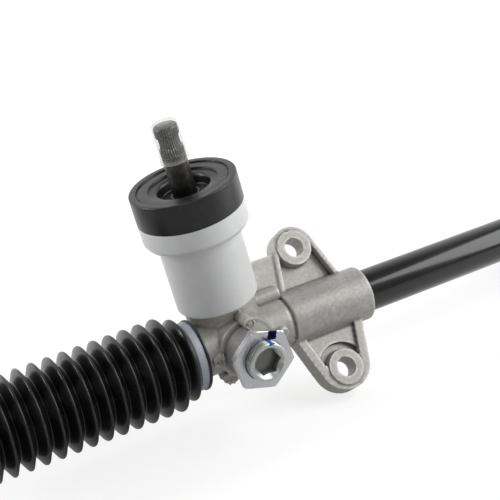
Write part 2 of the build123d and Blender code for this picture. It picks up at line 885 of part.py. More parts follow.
def large_clamp(frame):
    """Band clamp in the groove of the boot's large cuff."""
    low = -stop_to_ball - boot_seat_length + cuff_lip
    return sleeve(frame, band_r, band_r - band_thickness + seat, low + seat, low + band_width - seat)


def small_clamp(frame):
    """Spring clamp round the boot's small cuff."""
    low = boot_end_height() + small_cuff_length / 2
    inner = small_cuff_r + running
    return sleeve(frame, inner + small_clamp_thickness, inner, low, low + small_clamp_width)


def ball_socket(frame):
    """Socket screwed into the rack's end: stud, shoulder and a crimped cup."""
    flare = math.tan(math.radians(swing_limit + neck_angle + swing_margin))
    seat_outer = ball_joint_r + seat_gap + seat_thickness
    lip_mouth = socket_lip * flare
    body = spin(
        frame,
        (0, -socket_reach - washer_thickness - stud_length),
        (stud_r, -socket_reach - washer_thickness - stud_length),
        (stud_r, -socket_reach),
        (socket_r - socket_edge, -socket_reach),
        (socket_r, -socket_reach + socket_edge),
        (socket_r, socket_lip - 3 * socket_edge),
        (min(socket_r, lip_mouth) - socket_edge, socket_lip),
        (0, socket_lip),
    )
    body -= frame * Sphere(seat_outer + seat_gap)
    body -= spin(frame, (0, 0), (lip_mouth, socket_lip), (lip_mouth, socket_lip + 1), (0, socket_lip + 1))
    return body


def ball_seat(frame):
    """Plastic cup between ball and socket."""
    flare = math.tan(math.radians(swing_limit + neck_angle + swing_margin))
    outer = ball_joint_r + seat_gap + seat_thickness
    cup = frame * (Sphere(outer) - Sphere(ball_joint_r + seat_gap))
    reach = 2 * outer
    return cup - spin(frame, (0, 0), (reach * flare, reach), (0, reach))


def tab_washer(frame):
    """Lock washer with two tabs bent over the socket's shoulder."""
    low = -socket_reach - washer_thickness
    washer = sleeve(frame, socket_r + washer_thickness, stud_r + seat, low + seat, -socket_reach - seat)
    strip = Rectangle(washer_tab_width, 4 * socket_r)
    tabs = sleeve(
        frame,
        socket_r + washer_thickness,
        socket_r + seat,
        -socket_reach - seat,
        -socket_reach + washer_tab,
    )
    return washer + (tabs & prism(frame, strip, low, -socket_reach + washer_tab))


def tie_rod(frame):
    """Inner tie rod: ball, neck, shank with wrench flats and a threaded end."""
    shank_end = tie_rod_length - thread_length
    bar = frame * Sphere(ball_joint_r)
    bar += spin(
        frame,
        (0, 0),
        (ball_neck_r, 0),
        (ball_neck_r, neck_length),
        (tie_rod_r, neck_length + 2 * rod_chamfer),
        (tie_rod_r, shank_end),
        (thread_r, shank_end + rod_chamfer / 2),
        (thread_r, tie_rod_length - rod_chamfer),
        (thread_r - rod_chamfer, tie_rod_length),
        (0, tie_rod_length),
    )
    flats_at = shank_end - 2 * wrench_flat_length
    cut = prism(frame, Rectangle(4 * tie_rod_r, 4 * tie_rod_r), flats_at, flats_at + wrench_flat_length)
    cut -= prism(
        frame, Rectangle(wrench_flat_across, 4 * tie_rod_r), flats_at, flats_at + wrench_flat_length
    )
    return bar - cut


def build_parts():
    """Every node by name."""
    parts = {
        "gear_housing": gear_housing(),
        "rack_tube": sleeve(RACK, tube_r, tube_inner_r, tube_left, tube_right),
        "tube_bush": sleeve(
            RACK,
            tube_inner_r - seat,
            rack_r + running,
            tube_right - tube_bush_inset - tube_bush_length,
            tube_right - tube_bush_inset,
        ),
        "tube_end_collar": sleeve(RACK, boot_seat_r, tube_r + seat, tube_right - collar_length, tube_right),
        "pinion_bearing_outer_race": bearing_race(outer_race_r, bearing_outer_r),
        "pinion_bearing_inner_race": bearing_race(shaft_r + seat, inner_race_r),
        "pinion_bearing_balls": bearing_balls(),
        "pinion_bearing_cage": bearing_cage(),
        "bearing_circlip": open_ring(
            bearing_outer_r - circlip_reach, bearing_outer_r + circlip_reach / 2 - seat, bearing_clip_gap
        ),
        "shaft_circlip": open_ring(
            shaft_r - circlip_reach / 2 + seat, shaft_r + circlip_reach, shaft_clip_gap
        ),
        "pinion_oil_seal": pinion_oil_seal(),
        "pinion_foot_bush": pinion_foot_bush(),
        "dust_cover": dust_cover(),
        "dust_seal": dust_seal(),
        "yoke": yoke(),
        "yoke_liner": yoke_liner(),
        "yoke_spring": yoke_spring(),
        "yoke_o_ring": yoke_o_ring(),
        "yoke_plug": yoke_plug(),
        "yoke_locknut": hex_nut(YOKE, nut_across, plug_r + seat, yoke_boss_face, nut_face, nut_turn),
        "rack_bar": rack_bar(),
        "pinion_shaft": pinion_shaft(),
        "pinion_cap": shaft_cap(),
        "mounting_rubber": mount_rubber(),
        "mounting_bracket": mounting_bracket(),
    }
    for side, frame in (("left", LEFT), ("right", RIGHT)):
        parts[side + "_ball_socket"] = ball_socket(frame)
        parts[side + "_ball_seat"] = ball_seat(frame)
        parts[side + "_tab_washer"] = tab_washer(frame)
        parts[side + "_tie_rod"] = tie_rod(frame)
        parts[side + "_boot"] = boot(frame)
        parts[side + "_boot_large_clamp"] = large_clamp(frame)
        parts[side + "_boot_small_clamp"] = small_clamp(frame)
    return parts


for name, shape in build_parts().items():
    export_step(shape, "parts/" + name + ".step")
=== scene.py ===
import json
import math

import bmesh
import bpy
import numpy as np
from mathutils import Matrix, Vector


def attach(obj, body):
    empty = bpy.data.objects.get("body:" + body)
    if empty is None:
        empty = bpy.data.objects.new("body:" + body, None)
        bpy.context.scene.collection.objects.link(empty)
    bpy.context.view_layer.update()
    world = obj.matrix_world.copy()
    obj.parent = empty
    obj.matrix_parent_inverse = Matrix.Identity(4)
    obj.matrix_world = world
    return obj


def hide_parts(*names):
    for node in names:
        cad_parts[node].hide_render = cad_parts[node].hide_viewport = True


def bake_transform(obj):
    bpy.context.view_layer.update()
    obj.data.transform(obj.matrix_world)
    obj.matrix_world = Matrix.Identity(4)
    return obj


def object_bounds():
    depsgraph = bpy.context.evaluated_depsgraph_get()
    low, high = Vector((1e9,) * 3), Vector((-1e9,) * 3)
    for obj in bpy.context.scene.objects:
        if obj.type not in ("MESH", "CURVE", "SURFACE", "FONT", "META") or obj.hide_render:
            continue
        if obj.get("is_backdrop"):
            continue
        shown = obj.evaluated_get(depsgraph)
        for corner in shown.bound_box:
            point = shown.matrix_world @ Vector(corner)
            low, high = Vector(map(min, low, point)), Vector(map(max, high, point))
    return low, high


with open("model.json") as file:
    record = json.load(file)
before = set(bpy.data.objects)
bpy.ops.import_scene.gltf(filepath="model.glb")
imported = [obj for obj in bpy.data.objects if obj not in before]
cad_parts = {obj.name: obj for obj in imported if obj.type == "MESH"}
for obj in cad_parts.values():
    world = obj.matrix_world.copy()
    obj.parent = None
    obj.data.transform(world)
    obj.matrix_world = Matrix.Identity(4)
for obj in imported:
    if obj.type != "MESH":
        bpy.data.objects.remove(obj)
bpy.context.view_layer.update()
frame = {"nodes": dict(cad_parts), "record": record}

# Lengths in this file are millimetres; a mesh is turned into metres where it is made.
MM = 0.001
TAU = 2 * math.pi
WELD = 2e-6  # metres within which doubles are merged
FIT = 0.03  # gap between pieces that seat on each other

# Pinion and shaft, heights along the pinion's axis
PINION_X = -66.6
PINION_Y = 13.837
PINION_TILT = math.radians(7.2)
PRESSURE_ANGLE = math.radians(20.0)
HELIX = math.radians(25.0)
TEETH = 7
PITCH_R = 7.337
ADDENDUM = 2.3
DEDENDUM = 1.44
TOOTH_THICKNESS = 3.57
TOOTH_LENGTH = 34.0
SHAFT_R = 8.5
SHOULDER_R = 9.6
JOURNAL_R = 6.0
SERRATIONS = 30
SERRATION_START = 144.5
SERRATION_END = 165.2

# Housing
HOUSING_LEFT = -110.0
BARREL_R = 20.5
BARREL_LEFT = -27.0
BARREL_RIGHT = 39.1
NECK_R = 18.5
WAIST_R = 18.8
RACK_BORE_R = 12.5
TUBE_LEFT = 6.1
TUBE_R = 16.0
BOOT_SEAT_R = 23.0
GROOVE_X = -28.3
GROOVE_HALF_WIDTH = 1.1
GROOVE_FLOOR_R = 18.2
TOWER_R = 23.0
TOWER_TOP = 50.0
TOWER_ROOT_R = 26.0
TOWER_ROOT_TOP = 29.5
FOOT_R = 15.0
FOOT_BOTTOM = -30.0
YOKE_BOSS_R = 22.8
YOKE_PAD_FACE = 18.0
YOKE_NECK_R = 18.9
YOKE_BOSS_FACE = 36.5
PLUG_R = 14.5
BEARING_BORE_R = 17.53
BEARING_LOW = 22.0
YOKE_BORE_R = 13.3
YOKE_BORE_END = 29.0

# Ears, in the plane of their holes; heights are in front of that plane
EAR_LEAN = math.radians(36.3)
EAR_REACH = 47.85
EAR_HOLE_R = 7.25
EAR_BOSS_R = 13.35
EAR_BOSS_DRAFT = 0.08
EAR_BASE = 8.0
EAR_FRONT = 9.0
EAR_RIM_FRONT = 8.0
EAR_BACK = 7.0
EAR_CLEARANCE_R = 19.5
EAR_CLEARANCE_FLOOR = 0.6

# Half width of the foot to the left and right, radius of the round end, reach of its centre
UPPER_EAR = (26.8, 29.0, 16.5, EAR_REACH)
LOWER_EAR = (30.3, 30.6, 20.5, 43.9)
UPPER_RIM, UPPER_WEB_FLOOR = 3.5, 1.0
LOWER_RIM, LOWER_WEB_FLOOR = 6.8, 4.6
GUSSET = ((-40.6, 10), (0, 10), (0, 36.8), (-16, 48.8), (-40.6, 48.8))
BEAD_R, BEAD_LEFT, BEAD_AT = 5.8, -48.0, (0, 20.5, 7.5)

# Beside the yoke boss, across and up from its axis: lugs (x, y, radius, top, with a ring mark)
# and broken gates (x, y, radius, low, top)
YOKE_LUGS = ((-0.9, 23.4, 4.1, 29.0, True), (27.4, 3.0, 4.2, 22.0, False))
GATE_STUBS = ((-24.0, -1.0, 4.6, 4.0, 20.5), (-13.0, -22.0, 5.6, -2.0, 10.5))

# Tube, rods and boots; heights on rods and boots run outward from the ball's centre
TUBE_RIGHT = 324.0
TUBE_BORE_R = 14.0
BALL_LEFT = -202.0
BALL_RIGHT = 416.0
ROD_BALL_R = 12.0
ROD_NECK_R = 6.0
ROD_R = 7.5
ROD_THREAD_R = 7.0
ROD_THREAD_PITCH = 1.5
BOOT_REACH = 102.4
FIRST_FOLD = 12.2
FOLD_PITCH = 11.27
WIDE_FOLDS = 13
CUFF = -BOOT_REACH + FIRST_FOLD + FOLD_PITCH * (WIDE_FOLDS + 0.5 + 2 / 3)


class Frame:
    """Place of a piece: an origin in millimetres and three unit axes, one per row."""

    def __init__(self, origin, x_axis, z_axis):
        z = np.array(z_axis, float) / np.linalg.norm(z_axis)
        x = np.array(x_axis, float) - z * np.dot(x_axis, z)
        x /= np.linalg.norm(x)
        self.origin = np.array(origin, float)
        self.axes = np.array([x, np.cross(z, x), z])

    def out(self, local):
        """Points given along the frame's axes, in the part's own coordinates."""
        return self.origin + local @ self.axes

    def into(self, points):
        """Points of the part, along the frame's axes."""
        return (points - self.origin.astype(points.dtype)) @ self.axes.T.astype(points.dtype)


RACK = Frame((0, 0, 0), (0, 0, 1), (1, 0, 0))
PINION = Frame(
    (PINION_X, PINION_Y, 0),
    (math.cos(PINION_TILT), 0, math.sin(PINION_TILT)),
    (-math.sin(PINION_TILT), 0, math.cos(PINION_TILT)),
)
YOKE = Frame((PINION_X, 0, 0), (1, 0, 0), (0, -1, 0))
EAR = Frame((0, 0, 0), (1, 0, 0), (0, -math.cos(EAR_LEAN), math.sin(EAR_LEAN)))
LEFT = Frame((BALL_LEFT, 0, 0), (0, 0, 1), (-1, 0, 0))
RIGHT = Frame((BALL_RIGHT, 0, 0), (0, 0, 1), (1, 0, 0))
CLAMP = Frame((265.0, 0, 0), (0, math.sin(EAR_LEAN), math.cos(EAR_LEAN)), (1, 0, 0))

# Round forms of the casting: frame, radius, low and high end, edge rounding, fillet to the rest
CAST_POSTS = (
    (RACK, BOOT_SEAT_R, HOUSING_LEFT, HOUSING_LEFT + 10.4, 0.8, 1.0),
    (RACK, WAIST_R, PINION_X, BARREL_LEFT + 6, 0.5, 2.0),
    (PINION, TOWER_R, 0, TOWER_TOP, 0.6, 1.5),
    (PINION, TOWER_ROOT_R, 0, TOWER_ROOT_TOP, 1.0, 1.6),
    (PINION, FOOT_R, FOOT_BOTTOM, 0, 2.0, 4),
    (YOKE, YOKE_BOSS_R, -PINION_Y, YOKE_PAD_FACE, 0.7, 1.2),
    (YOKE, YOKE_NECK_R, 0, YOKE_BOSS_FACE, 0.7, 1.4),
    (RACK, BARREL_R, BARREL_LEFT, BARREL_RIGHT, 1.6, 1.0),
)
# Bores: frame, radius, low and high end
BORES = (
    (RACK, RACK_BORE_R, HOUSING_LEFT - 2, TUBE_LEFT),
    (RACK, TUBE_R + FIT, TUBE_LEFT, BARREL_RIGHT + 2),
    (PINION, PITCH_R + 2.8, -17.4, BEARING_LOW),
    (PINION, JOURNAL_R + 2.53, -26.0, -17.0),
    (PINION, BEARING_BORE_R, BEARING_LOW, TOWER_TOP + 2),
    (YOKE, YOKE_BORE_R, 0, YOKE_BORE_END),
    (YOKE, PLUG_R + FIT, YOKE_BORE_END, YOKE_BOSS_FACE + 2),
)


# Meshes


def grid_faces(rows, columns, close_rows=False):
    """Quads between neighbouring points of a grid whose columns, and rows if asked, form rings."""
    row, column = np.meshgrid(
        np.arange(rows if close_rows else rows - 1), np.arange(columns), indexing="ij"
    )
    next_row, next_column = (row + 1) % rows, (column + 1) % columns
    quads = [row * columns + column, next_row * columns + column]
    quads += [next_row * columns + next_column, row * columns + next_column]
    return np.stack(quads, axis=-1).reshape(-1, 4)


def add_object(name, data):
    """Object made of the data, in the scene."""
    made = bpy.data.objects.new(name, data)
    bpy.context.scene.collection.objects.link(made)
    return made


def make_piece(name, slot, *surfaces, sharp=32.0):
    """One object of several surfaces, each (points in millimetres, quads), with its slot's finish.

    Doubles are merged, flat leftovers removed, faces turned outwards, and edges that turn by more
    than `sharp` degrees stay crisp.
    """
    points, quads, start = [], [], 0
    for grid, faces in surfaces:
        flat = np.asarray(grid).reshape(-1, 3) * MM
        points.append(flat)
        quads.append(faces + start)
        start += len(flat)
    mesh = bpy.data.meshes.new(name)
    mesh.from_pydata(np.concatenate(points).tolist(), [], np.concatenate(quads).tolist())
    work = bmesh.new()
    work.from_mesh(mesh)
    bmesh.ops.remove_doubles(work, verts=work.verts, dist=WELD)
    bmesh.ops.dissolve_degenerate(work, edges=work.edges, dist=WELD / 2)
    bmesh.ops.recalc_face_normals(work, faces=work.faces)
    work.to_mesh(mesh)
    work.free()
    mesh.polygons.foreach_set("use_smooth", [True] * len(mesh.polygons))
    mesh.set_sharp_from_angle(angle=math.radians(sharp))
    mesh.materials.append(FINISHES[slot])
    piece = add_object(name, mesh)
    return piece


def mark_ribs(piece, place, ridges):
    """Store `ridges` of the vertices, seen in the frame `place`, as the attribute ribs."""
    points = np.empty(len(piece.data.vertices) * 3)
    piece.data.vertices.foreach_get("co", points)
    values = ridges(place.into(points.reshape(-1, 3) / MM)).astype(np.float32)
    piece.data.attributes.new("ribs", "FLOAT", "POINT").data.foreach_set("value", values)


def stand_in(piece, body, node):
    """Place a finished piece: it rides on a body and stands for a CAD node."""
    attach(piece, body)
    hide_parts(node)


def rounded(corners, closed=True, steps=4):
    """Outline whose corners (a, b, radius) become arcs.

    An arc touches both sides at radius / tan(half the corner's angle); its points are its centre
    plus the radius in evenly turned directions.
    """
    out = []
    count = len(corners)
    for index, (a, b, radius) in enumerate(corners):
        here = np.array([a, b], float)
        if radius <= 0 or (not closed and index in (0, count - 1)):
            out.append(here[None])
            continue
        before = np.array(corners[index - 1][:2], float) - here
        after = np.array(corners[(index + 1) % count][:2], float) - here
        length_before, length_after = np.linalg.norm(before), np.linalg.norm(after)
        before, after = before / length_before, after / length_after
        angle = math.acos(float(np.clip(before @ after, -1, 1)))
        if angle > math.radians(178):
            out.append(here[None])
            continue
        reach = min(radius / math.tan(angle / 2), 0.49 * length_before, 0.49 * length_after)
        radius = reach * math.tan(angle / 2)
        middle = (before + after) / np.linalg.norm(before + after)
        centre = here + middle * radius / math.sin(angle / 2)
        first = here + before * reach - centre
        last = here + after * reach - centre
        sweep = math.pi - angle
        turn = np.linspace(0, 1, steps + 1)[:, None]
        arc = (np.sin((1 - turn) * sweep) * first + np.sin(turn * sweep) * last) / math.sin(sweep)
        out.append(centre + arc)
    return np.concatenate(out)


def divided(outline, longest):
    """Outline with points added along its sides, none further apart than `longest`."""
    out = []
    for here, there in zip(outline[:-1], outline[1:]):
        parts = max(1, math.ceil(np.linalg.norm(there - here) / longest))
        out.append(here + (there - here) * (np.arange(parts) / parts)[:, None])
    return np.concatenate(out + [outline[-1:]])


def turned(place, outline, count=96, closed=True, swell=None):
    """Surface of revolution: outline point (r, h) carried round the Z axis, (r cos t, r sin t, h).

    `swell(r, h, t)` may change the radius and the height from place to place.
    """
    t = np.arange(count) * TAU / count
    r = np.repeat(outline[:, :1], count, axis=1)
    h = np.repeat(outline[:, 1:], count, axis=1)
    angle = np.repeat(t[None], len(outline), axis=0)
    if swell:
        r, h = swell(r, h, angle)
    points = np.stack([r * np.cos(angle), r * np.sin(angle), h], axis=-1)
    return place.out(points), grid_faces(len(outline), count, closed)


def triangle(turns):
    """Triangle wave: 1 at whole turns and 0 half way between them."""
    return np.abs(2 * (turns % 1) - 1)


# Distance field of the casting


def slab(flat, height, low, high, edge=0.0):
    """Distance to a flat shape carried from `low` to `high`, from its distance in the plane."""
    side = flat + edge
    ends = np.abs(height - (low + high) / 2) - ((high - low) / 2 - edge)
    outside = np.hypot(np.maximum(side, 0), np.maximum(ends, 0))
    return np.minimum(np.maximum(side, ends), 0) + outside - edge


def post(local, radius, low, high, edge=0.0):
    """Distance to a cylinder on the Z axis."""
    return slab(np.hypot(local[:, 0], local[:, 1]) - radius, local[:, 2], low, high, edge)


def shifted(local, x, y):
    """Points seen from an axis moved across to (x, y)."""
    return local - np.array([x, y, 0], local.dtype)


def polygon(x, y, corners):
    """Distance to a polygon: the nearest side, negative where a ray crosses an odd number of sides."""
    nearest = np.full(x.shape, 1e9, x.dtype)
    inside = np.zeros(x.shape, bool)
    for (ax, ay), (bx, by) in zip(corners, corners[1:] + corners[:1]):
        ex, ey = bx - ax, by - ay
        along = np.clip(((x - ax) * ex + (y - ay) * ey) / (ex * ex + ey * ey), 0, 1)
        nearest = np.minimum(nearest, np.hypot(x - ax - along * ex, y - ay - along * ey))
        if ey:
            inside ^= ((ay > y) != (by > y)) & (x < ax + (y - ay) * ex / ey)
    return np.where(inside, -nearest, nearest)


def join(a, b, radius):
    """Union with a fillet of about the radius where the two shapes meet."""
    if radius <= 0:
        return np.minimum(a, b)
    near = np.maximum(radius - np.abs(a - b), 0) / radius
    return np.minimum(a, b) - near * near * radius / 4


def cut(a, b, radius=0.0):
    """First shape without the second, the cut's edge eased by about the radius."""
    return -join(-a, b, radius)


def ear_plan(x, y, left_base, right_base, end_r, reach):
    """Plan of one ear: two sides that run from the barrel and touch a round end."""
    touches = []
    for base in (left_base, right_base):
        run = math.hypot(base, reach - EAR_BASE)
        lean = math.atan2(base, reach - EAR_BASE) - math.asin(end_r / run)
        touches.append((end_r * math.cos(lean), reach + end_r * math.sin(lean)))
    (left_x, left_y), right = touches
    corners = [(-left_base, EAR_BASE), (right_base, EAR_BASE), right, (-left_x, left_y)]
    return np.minimum(polygon(x, y, corners), np.hypot(x, y - reach) - end_r)


def ear_metal(local, end):
    """One ear: plate, sunk web inside a rim, and the bolt boss; end is +1 above, -1 below.

    The lower ear's web is shallower, and a round clearance is milled into it about the boss.
    """
    x, y, h = local[:, 0], end * local[:, 1], local[:, 2]
    plan = ear_plan(x, y, *(UPPER_EAR if end > 0 else LOWER_EAR))
    rim, floor = (UPPER_RIM, UPPER_WEB_FLOOR) if end > 0 else (LOWER_RIM, LOWER_WEB_FLOOR)
    pocket = np.maximum(plan + rim, floor - h)
    from_boss = np.hypot(x, y - EAR_REACH)
    if end < 0:
        clearance = np.maximum(from_boss - EAR_CLEARANCE_R, EAR_CLEARANCE_FLOOR - h)
        pocket = np.minimum(pocket, np.maximum(clearance, plan + rim))
    metal = cut(slab(plan, h, -EAR_BACK, EAR_RIM_FRONT, 0.6), pocket, 0.9)
    boss_r = EAR_BOSS_R + EAR_BOSS_DRAFT * np.clip(EAR_RIM_FRONT - h, 0, EAR_RIM_FRONT)
    return join(metal, slab(from_boss - boss_r, h, -EAR_BACK, EAR_FRONT, 0.3), 1.0)


def lug(local, x, y, radius, top, marked):
    """Small cast lug beside the yoke boss; a marked one has its ejector pin's ring on its face."""
    moved = shifted(local, x, y)
    if not marked:
        return post(moved, radius, 0, top, 1.2)
    from_axis = np.hypot(moved[:, 0], moved[:, 1])
    ring = np.maximum(np.abs(from_axis - 0.57 * radius) - 0.13 * radius, top - 0.8 - moved[:, 2])
    return cut(post(moved, radius, 0, top, 0.6), ring, 0.3)


def rough_stub(local, x, y, radius, low, top):
    """Broken-off gate: a short post whose skin is shifted in and out by a few crossing waves."""
    moved = shifted(local, x, y)
    a, b, c = moved.T
    waves = np.sin(1.7 * a + 0.9 * c) + np.sin(2.3 * b - 1.1 * a) + np.sin(2.9 * c + 1.3 * b)
    return post(moved, radius, low, top, 1.2) + 0.22 * waves


def casting(points):
    """Distance to the gear housing's skin, negative inside the metal.

    The cast shapes are joined with fillets, then the machined faces and bores are cut sharp.
    """
    local = {place: place.into(points) for place in (RACK, PINION, YOKE, EAR)}
    rack, yoke, ear = local[RACK], local[YOKE], local[EAR]
    metal = post(rack, NECK_R, HOUSING_LEFT, PINION_X, 1.0)
    for place, radius, low, high, edge, fillet in CAST_POSTS:
        metal = join(metal, post(local[place], radius, low, high, edge), fillet)
    groove_side = np.abs(rack[:, 2] - GROOVE_X) - GROOVE_HALF_WIDTH
    groove_floor = GROOVE_FLOOR_R - np.hypot(rack[:, 0], rack[:, 1])
    metal = cut(metal, np.maximum(groove_side, groove_floor), 0.7)
    in_pocket = ear_plan(ear[:, 0], ear[:, 1], *UPPER_EAR) + UPPER_RIM
    gusset = np.maximum(polygon(ear[:, 0], ear[:, 1], GUSSET), -in_pocket)
    metal = join(metal, slab(gusset, ear[:, 2], -1.0, 7.0, 0.8), 1.6)
    bead = rack - RACK.into(EAR.out(np.array(BEAD_AT))).astype(points.dtype)
    metal = join(metal, post(bead, BEAD_R, BEAD_LEFT, BARREL_LEFT, 0.8), 1.0)
    for end in (1, -1):
        metal = join(metal, ear_metal(ear, end), 1.6)
    for sizes in YOKE_LUGS:
        metal = join(metal, lug(yoke, *sizes), 0.8)
    for sizes in GATE_STUBS:
        metal = join(metal, rough_stub(yoke, *sizes), 1.5)
    for place, radius, low, high in BORES:
        metal = cut(metal, post(local[place], radius, low, high))
    for end in (1, -1):
        hole = shifted(ear, 0, end * EAR_REACH)
        metal = cut(metal, post(hole, EAR_HOLE_R, -EAR_BACK - 2, EAR_FRONT + 2))
    return metal


def in_lots(field, points, size=300000):
    """Field worked out in lots of points, to keep memory small."""
    lots = [field(points[at : at + size]) for at in range(0, len(points), size)]
    return np.concatenate(lots)


def skin_of(field, low, high, cell):
    """Surface where a field is zero, with crisp edges kept; it must stay off the box's sides.

    Each grid cell that the surface crosses gets one point, the one that lies nearest to the tangent
    planes found on the cell's edges; each crossed edge gives a quad between the four cells round it.
    """
    step, pull, overshoot = 0.05, 0.04, 0.1 * cell
    low = np.array(low, np.float32)
    shape = np.ceil((np.array(high) - low) / cell).astype(int) + 1
    axes = [low[k] + cell * np.arange(shape[k], dtype=np.float32) for k in range(3)]
    corners = np.stack(np.meshgrid(*axes, indexing="ij"), axis=-1).reshape(-1, 3)
    value = in_lots(field, corners).reshape(shape)
    cells = shape - 1
    stride = np.array([cells[1] * cells[2], cells[2], 1])
    points, quads = [], []
    for axis in range(3):
        first = value.take(range(shape[axis] - 1), axis)
        second = value.take(range(1, shape[axis]), axis)
        at = np.argwhere((first < 0) != (second < 0))
        here, there = first[tuple(at.T)], second[tuple(at.T)]
        point = low + cell * at.astype(np.float32)
        point[:, axis] += cell * (here / (here - there))
        points.append(point)
        u, v = stride[(axis + 1) % 3], stride[(axis + 2) % 3]
        ring = (at @ stride)[:, None] + np.array([-u - v, -v, 0, -u])
        ring[here >= 0] = ring[here >= 0][:, ::-1]
        quads.append(ring)
    points, quads = np.concatenate(points), np.concatenate(quads)
    normal = np.zeros_like(points)
    for axis in range(3):
        shift = np.zeros(3, np.float32)
        shift[axis] = step
        normal[:, axis] = in_lots(field, points + shift) - in_lots(field, points - shift)
    normal /= np.maximum(np.linalg.norm(normal, axis=1), 1e-9)[:, None]
    used, back = np.unique(quads.reshape(-1), return_inverse=True)
    edge = np.repeat(np.arange(len(quads)), 4)

    def total(values):
        """Sum over the crossed edges of each cell."""
        return np.bincount(back, values, len(used))

    hits = total(np.ones(len(edge)))
    mean = np.stack([total(points[edge, k]) / hits for k in range(3)], axis=1)
    slope = normal[edge]
    plane = np.sum(slope * (points[edge] - mean[back]), axis=1)
    target = np.stack([total(slope[:, j] * plane) for j in range(3)], axis=1)
    products = [total(slope[:, j] * slope[:, k]) for j in range(3) for k in range(3)]
    matrix = np.stack(products, axis=1).reshape(-1, 3, 3) + np.eye(3) * pull
    move = np.linalg.solve(matrix, target[..., None])[..., 0]
    bottom = low + cell * np.stack(np.unravel_index(used, cells), axis=1)
    vertex = np.clip(mean + move, bottom - overshoot, bottom + cell + overshoot)
    return vertex, back.reshape(-1, 4)


# Finishes


class Tree:
    """Shorthand for adding nodes to a material or a group and joining them."""

    def __init__(self, tree):
        self.tree = tree

    def add(self, kind, inputs=None, **settings):
        node = self.tree.nodes.new(kind)
        for key, value in settings.items():
            setattr(node, key, value)
        self.fill(node.inputs, inputs or {})
        return node

    def fill(self, sockets, values):
        """Feed sockets, by name or number, with a fixed value or with another socket."""
        for key, value in values.items():
            if isinstance(value, bpy.types.NodeSocket):
                self.tree.links.new(value, sockets[key])
            else:
                sockets[key].default_value = value

    def math(self, operation, *values):
        return self.add("ShaderNodeMath", dict(enumerate(values)), operation=operation).outputs[0]

    def weighted(self, *terms):
        """Sum of terms, each a value and its weight."""
        total, *others = [self.math("MULTIPLY", value, weight) for value, weight in terms]
        for other in others:
            total = self.math("ADD", total, other)
        return total

    def spread(self, value, from_low, from_high, to_low, to_high):
        """Value read on one range and put out on another, held at its ends."""
        ends = (value, from_low, from_high, to_low, to_high)
        return self.add("ShaderNodeMapRange", dict(enumerate(ends)), clamp=True).outputs[0]

    def mix(self, factor, first, second):
        inputs = {0: factor, 6: first, 7: second}
        return self.add("ShaderNodeMix", inputs, data_type="RGBA").outputs[2]

    def noise(self, vector, scale, detail=3.0, roughness=0.55):
        inputs = {"Vector": vector, "Scale": scale, "Detail": detail, "Roughness": roughness}
        return self.add("ShaderNodeTexNoise", inputs).outputs[0]

    def dots(self, vector, scale):
        """Distance to the nearest of many scattered points."""
        return self.add("ShaderNodeTexVoronoi", {"Vector": vector, "Scale": scale}).outputs["Distance"]

    def place(self):
        return self.add("ShaderNodeTexCoord").outputs["Object"]

    def parts(self, vector):
        return self.add("ShaderNodeSeparateXYZ", {"Vector": vector}).outputs

    def ribs(self):
        return self.add("ShaderNodeAttribute", attribute_name="ribs").outputs["Fac"]

    def group(self, group, inputs=None):
        return self.add("ShaderNodeGroup", inputs, node_tree=group).outputs


def effect(name, inputs, outputs):
    """Empty shader node group with named number inputs and named outputs."""
    group = bpy.data.node_groups.new(name, "ShaderNodeTree")
    for key, value in inputs.items():
        socket = group.interface.new_socket(key, in_out="INPUT", socket_type="NodeSocketFloat")
        socket.default_value = value
    for key in outputs:
        group.interface.new_socket(key, in_out="OUTPUT", socket_type="NodeSocketFloat")
    tree = Tree(group)
    return group, tree, tree.add("NodeGroupInput").outputs, tree.add("NodeGroupOutput").inputs


def grain_effect():
    """Skin of sand-fine grain with shallow blotches and a few pits."""
    scales = {"Fine": 900.0, "Coarse": 130.0, "Pits": 260.0}
    group, tree, given, result = effect("cast_grain", scales, ("Height", "Tone"))
    place = tree.place()
    fine = tree.noise(place, given["Fine"], 4.0, 0.65)
    coarse = tree.noise(place, given["Coarse"])
    pit = tree.spread(tree.dots(place, given["Pits"]), 0.0, 0.16, 1.0, 0.0)
    height = tree.weighted((fine, 0.7), (coarse, 0.5), (pit, -0.35))
    tone = tree.weighted((fine, 0.4), (coarse, 0.6), (pit, -0.12))
    tree.fill(result, {"Height": height, "Tone": tone})
    return group


def edge_effect():
    """Masks of raised edges and of hollows, from how far the surface bends (flat is 0.5)."""
    group, tree, _, result = effect("bend_masks", {}, ("Edge", "Hollow"))
    bend = tree.add("ShaderNodeNewGeometry").outputs["Pointiness"]
    edge = tree.spread(bend, 0.505, 0.565, 0.0, 1.0)
    hollow = tree.spread(bend, 0.495, 0.435, 0.0, 1.0)
    tree.fill(result, {"Edge": edge, "Hollow": hollow})
    return group


def smudge_effect():
    """Slow blotches with finer ones inside, for dust, handling marks and uneven gloss."""
    group, tree, given, result = effect("smudges", {"Scale": 30.0}, ("Mask", "Height"))
    place = tree.place()
    wide = tree.noise(place, given["Scale"], 5.0, 0.6)
    fine = tree.noise(place, tree.math("MULTIPLY", given["Scale"], 9.0), 2.0)
    both = tree.weighted((wide, 0.75), (fine, 0.25))
    tree.fill(result, {"Mask": tree.spread(both, 0.5, 0.66, 0.0, 1.0), "Height": both})
    return group


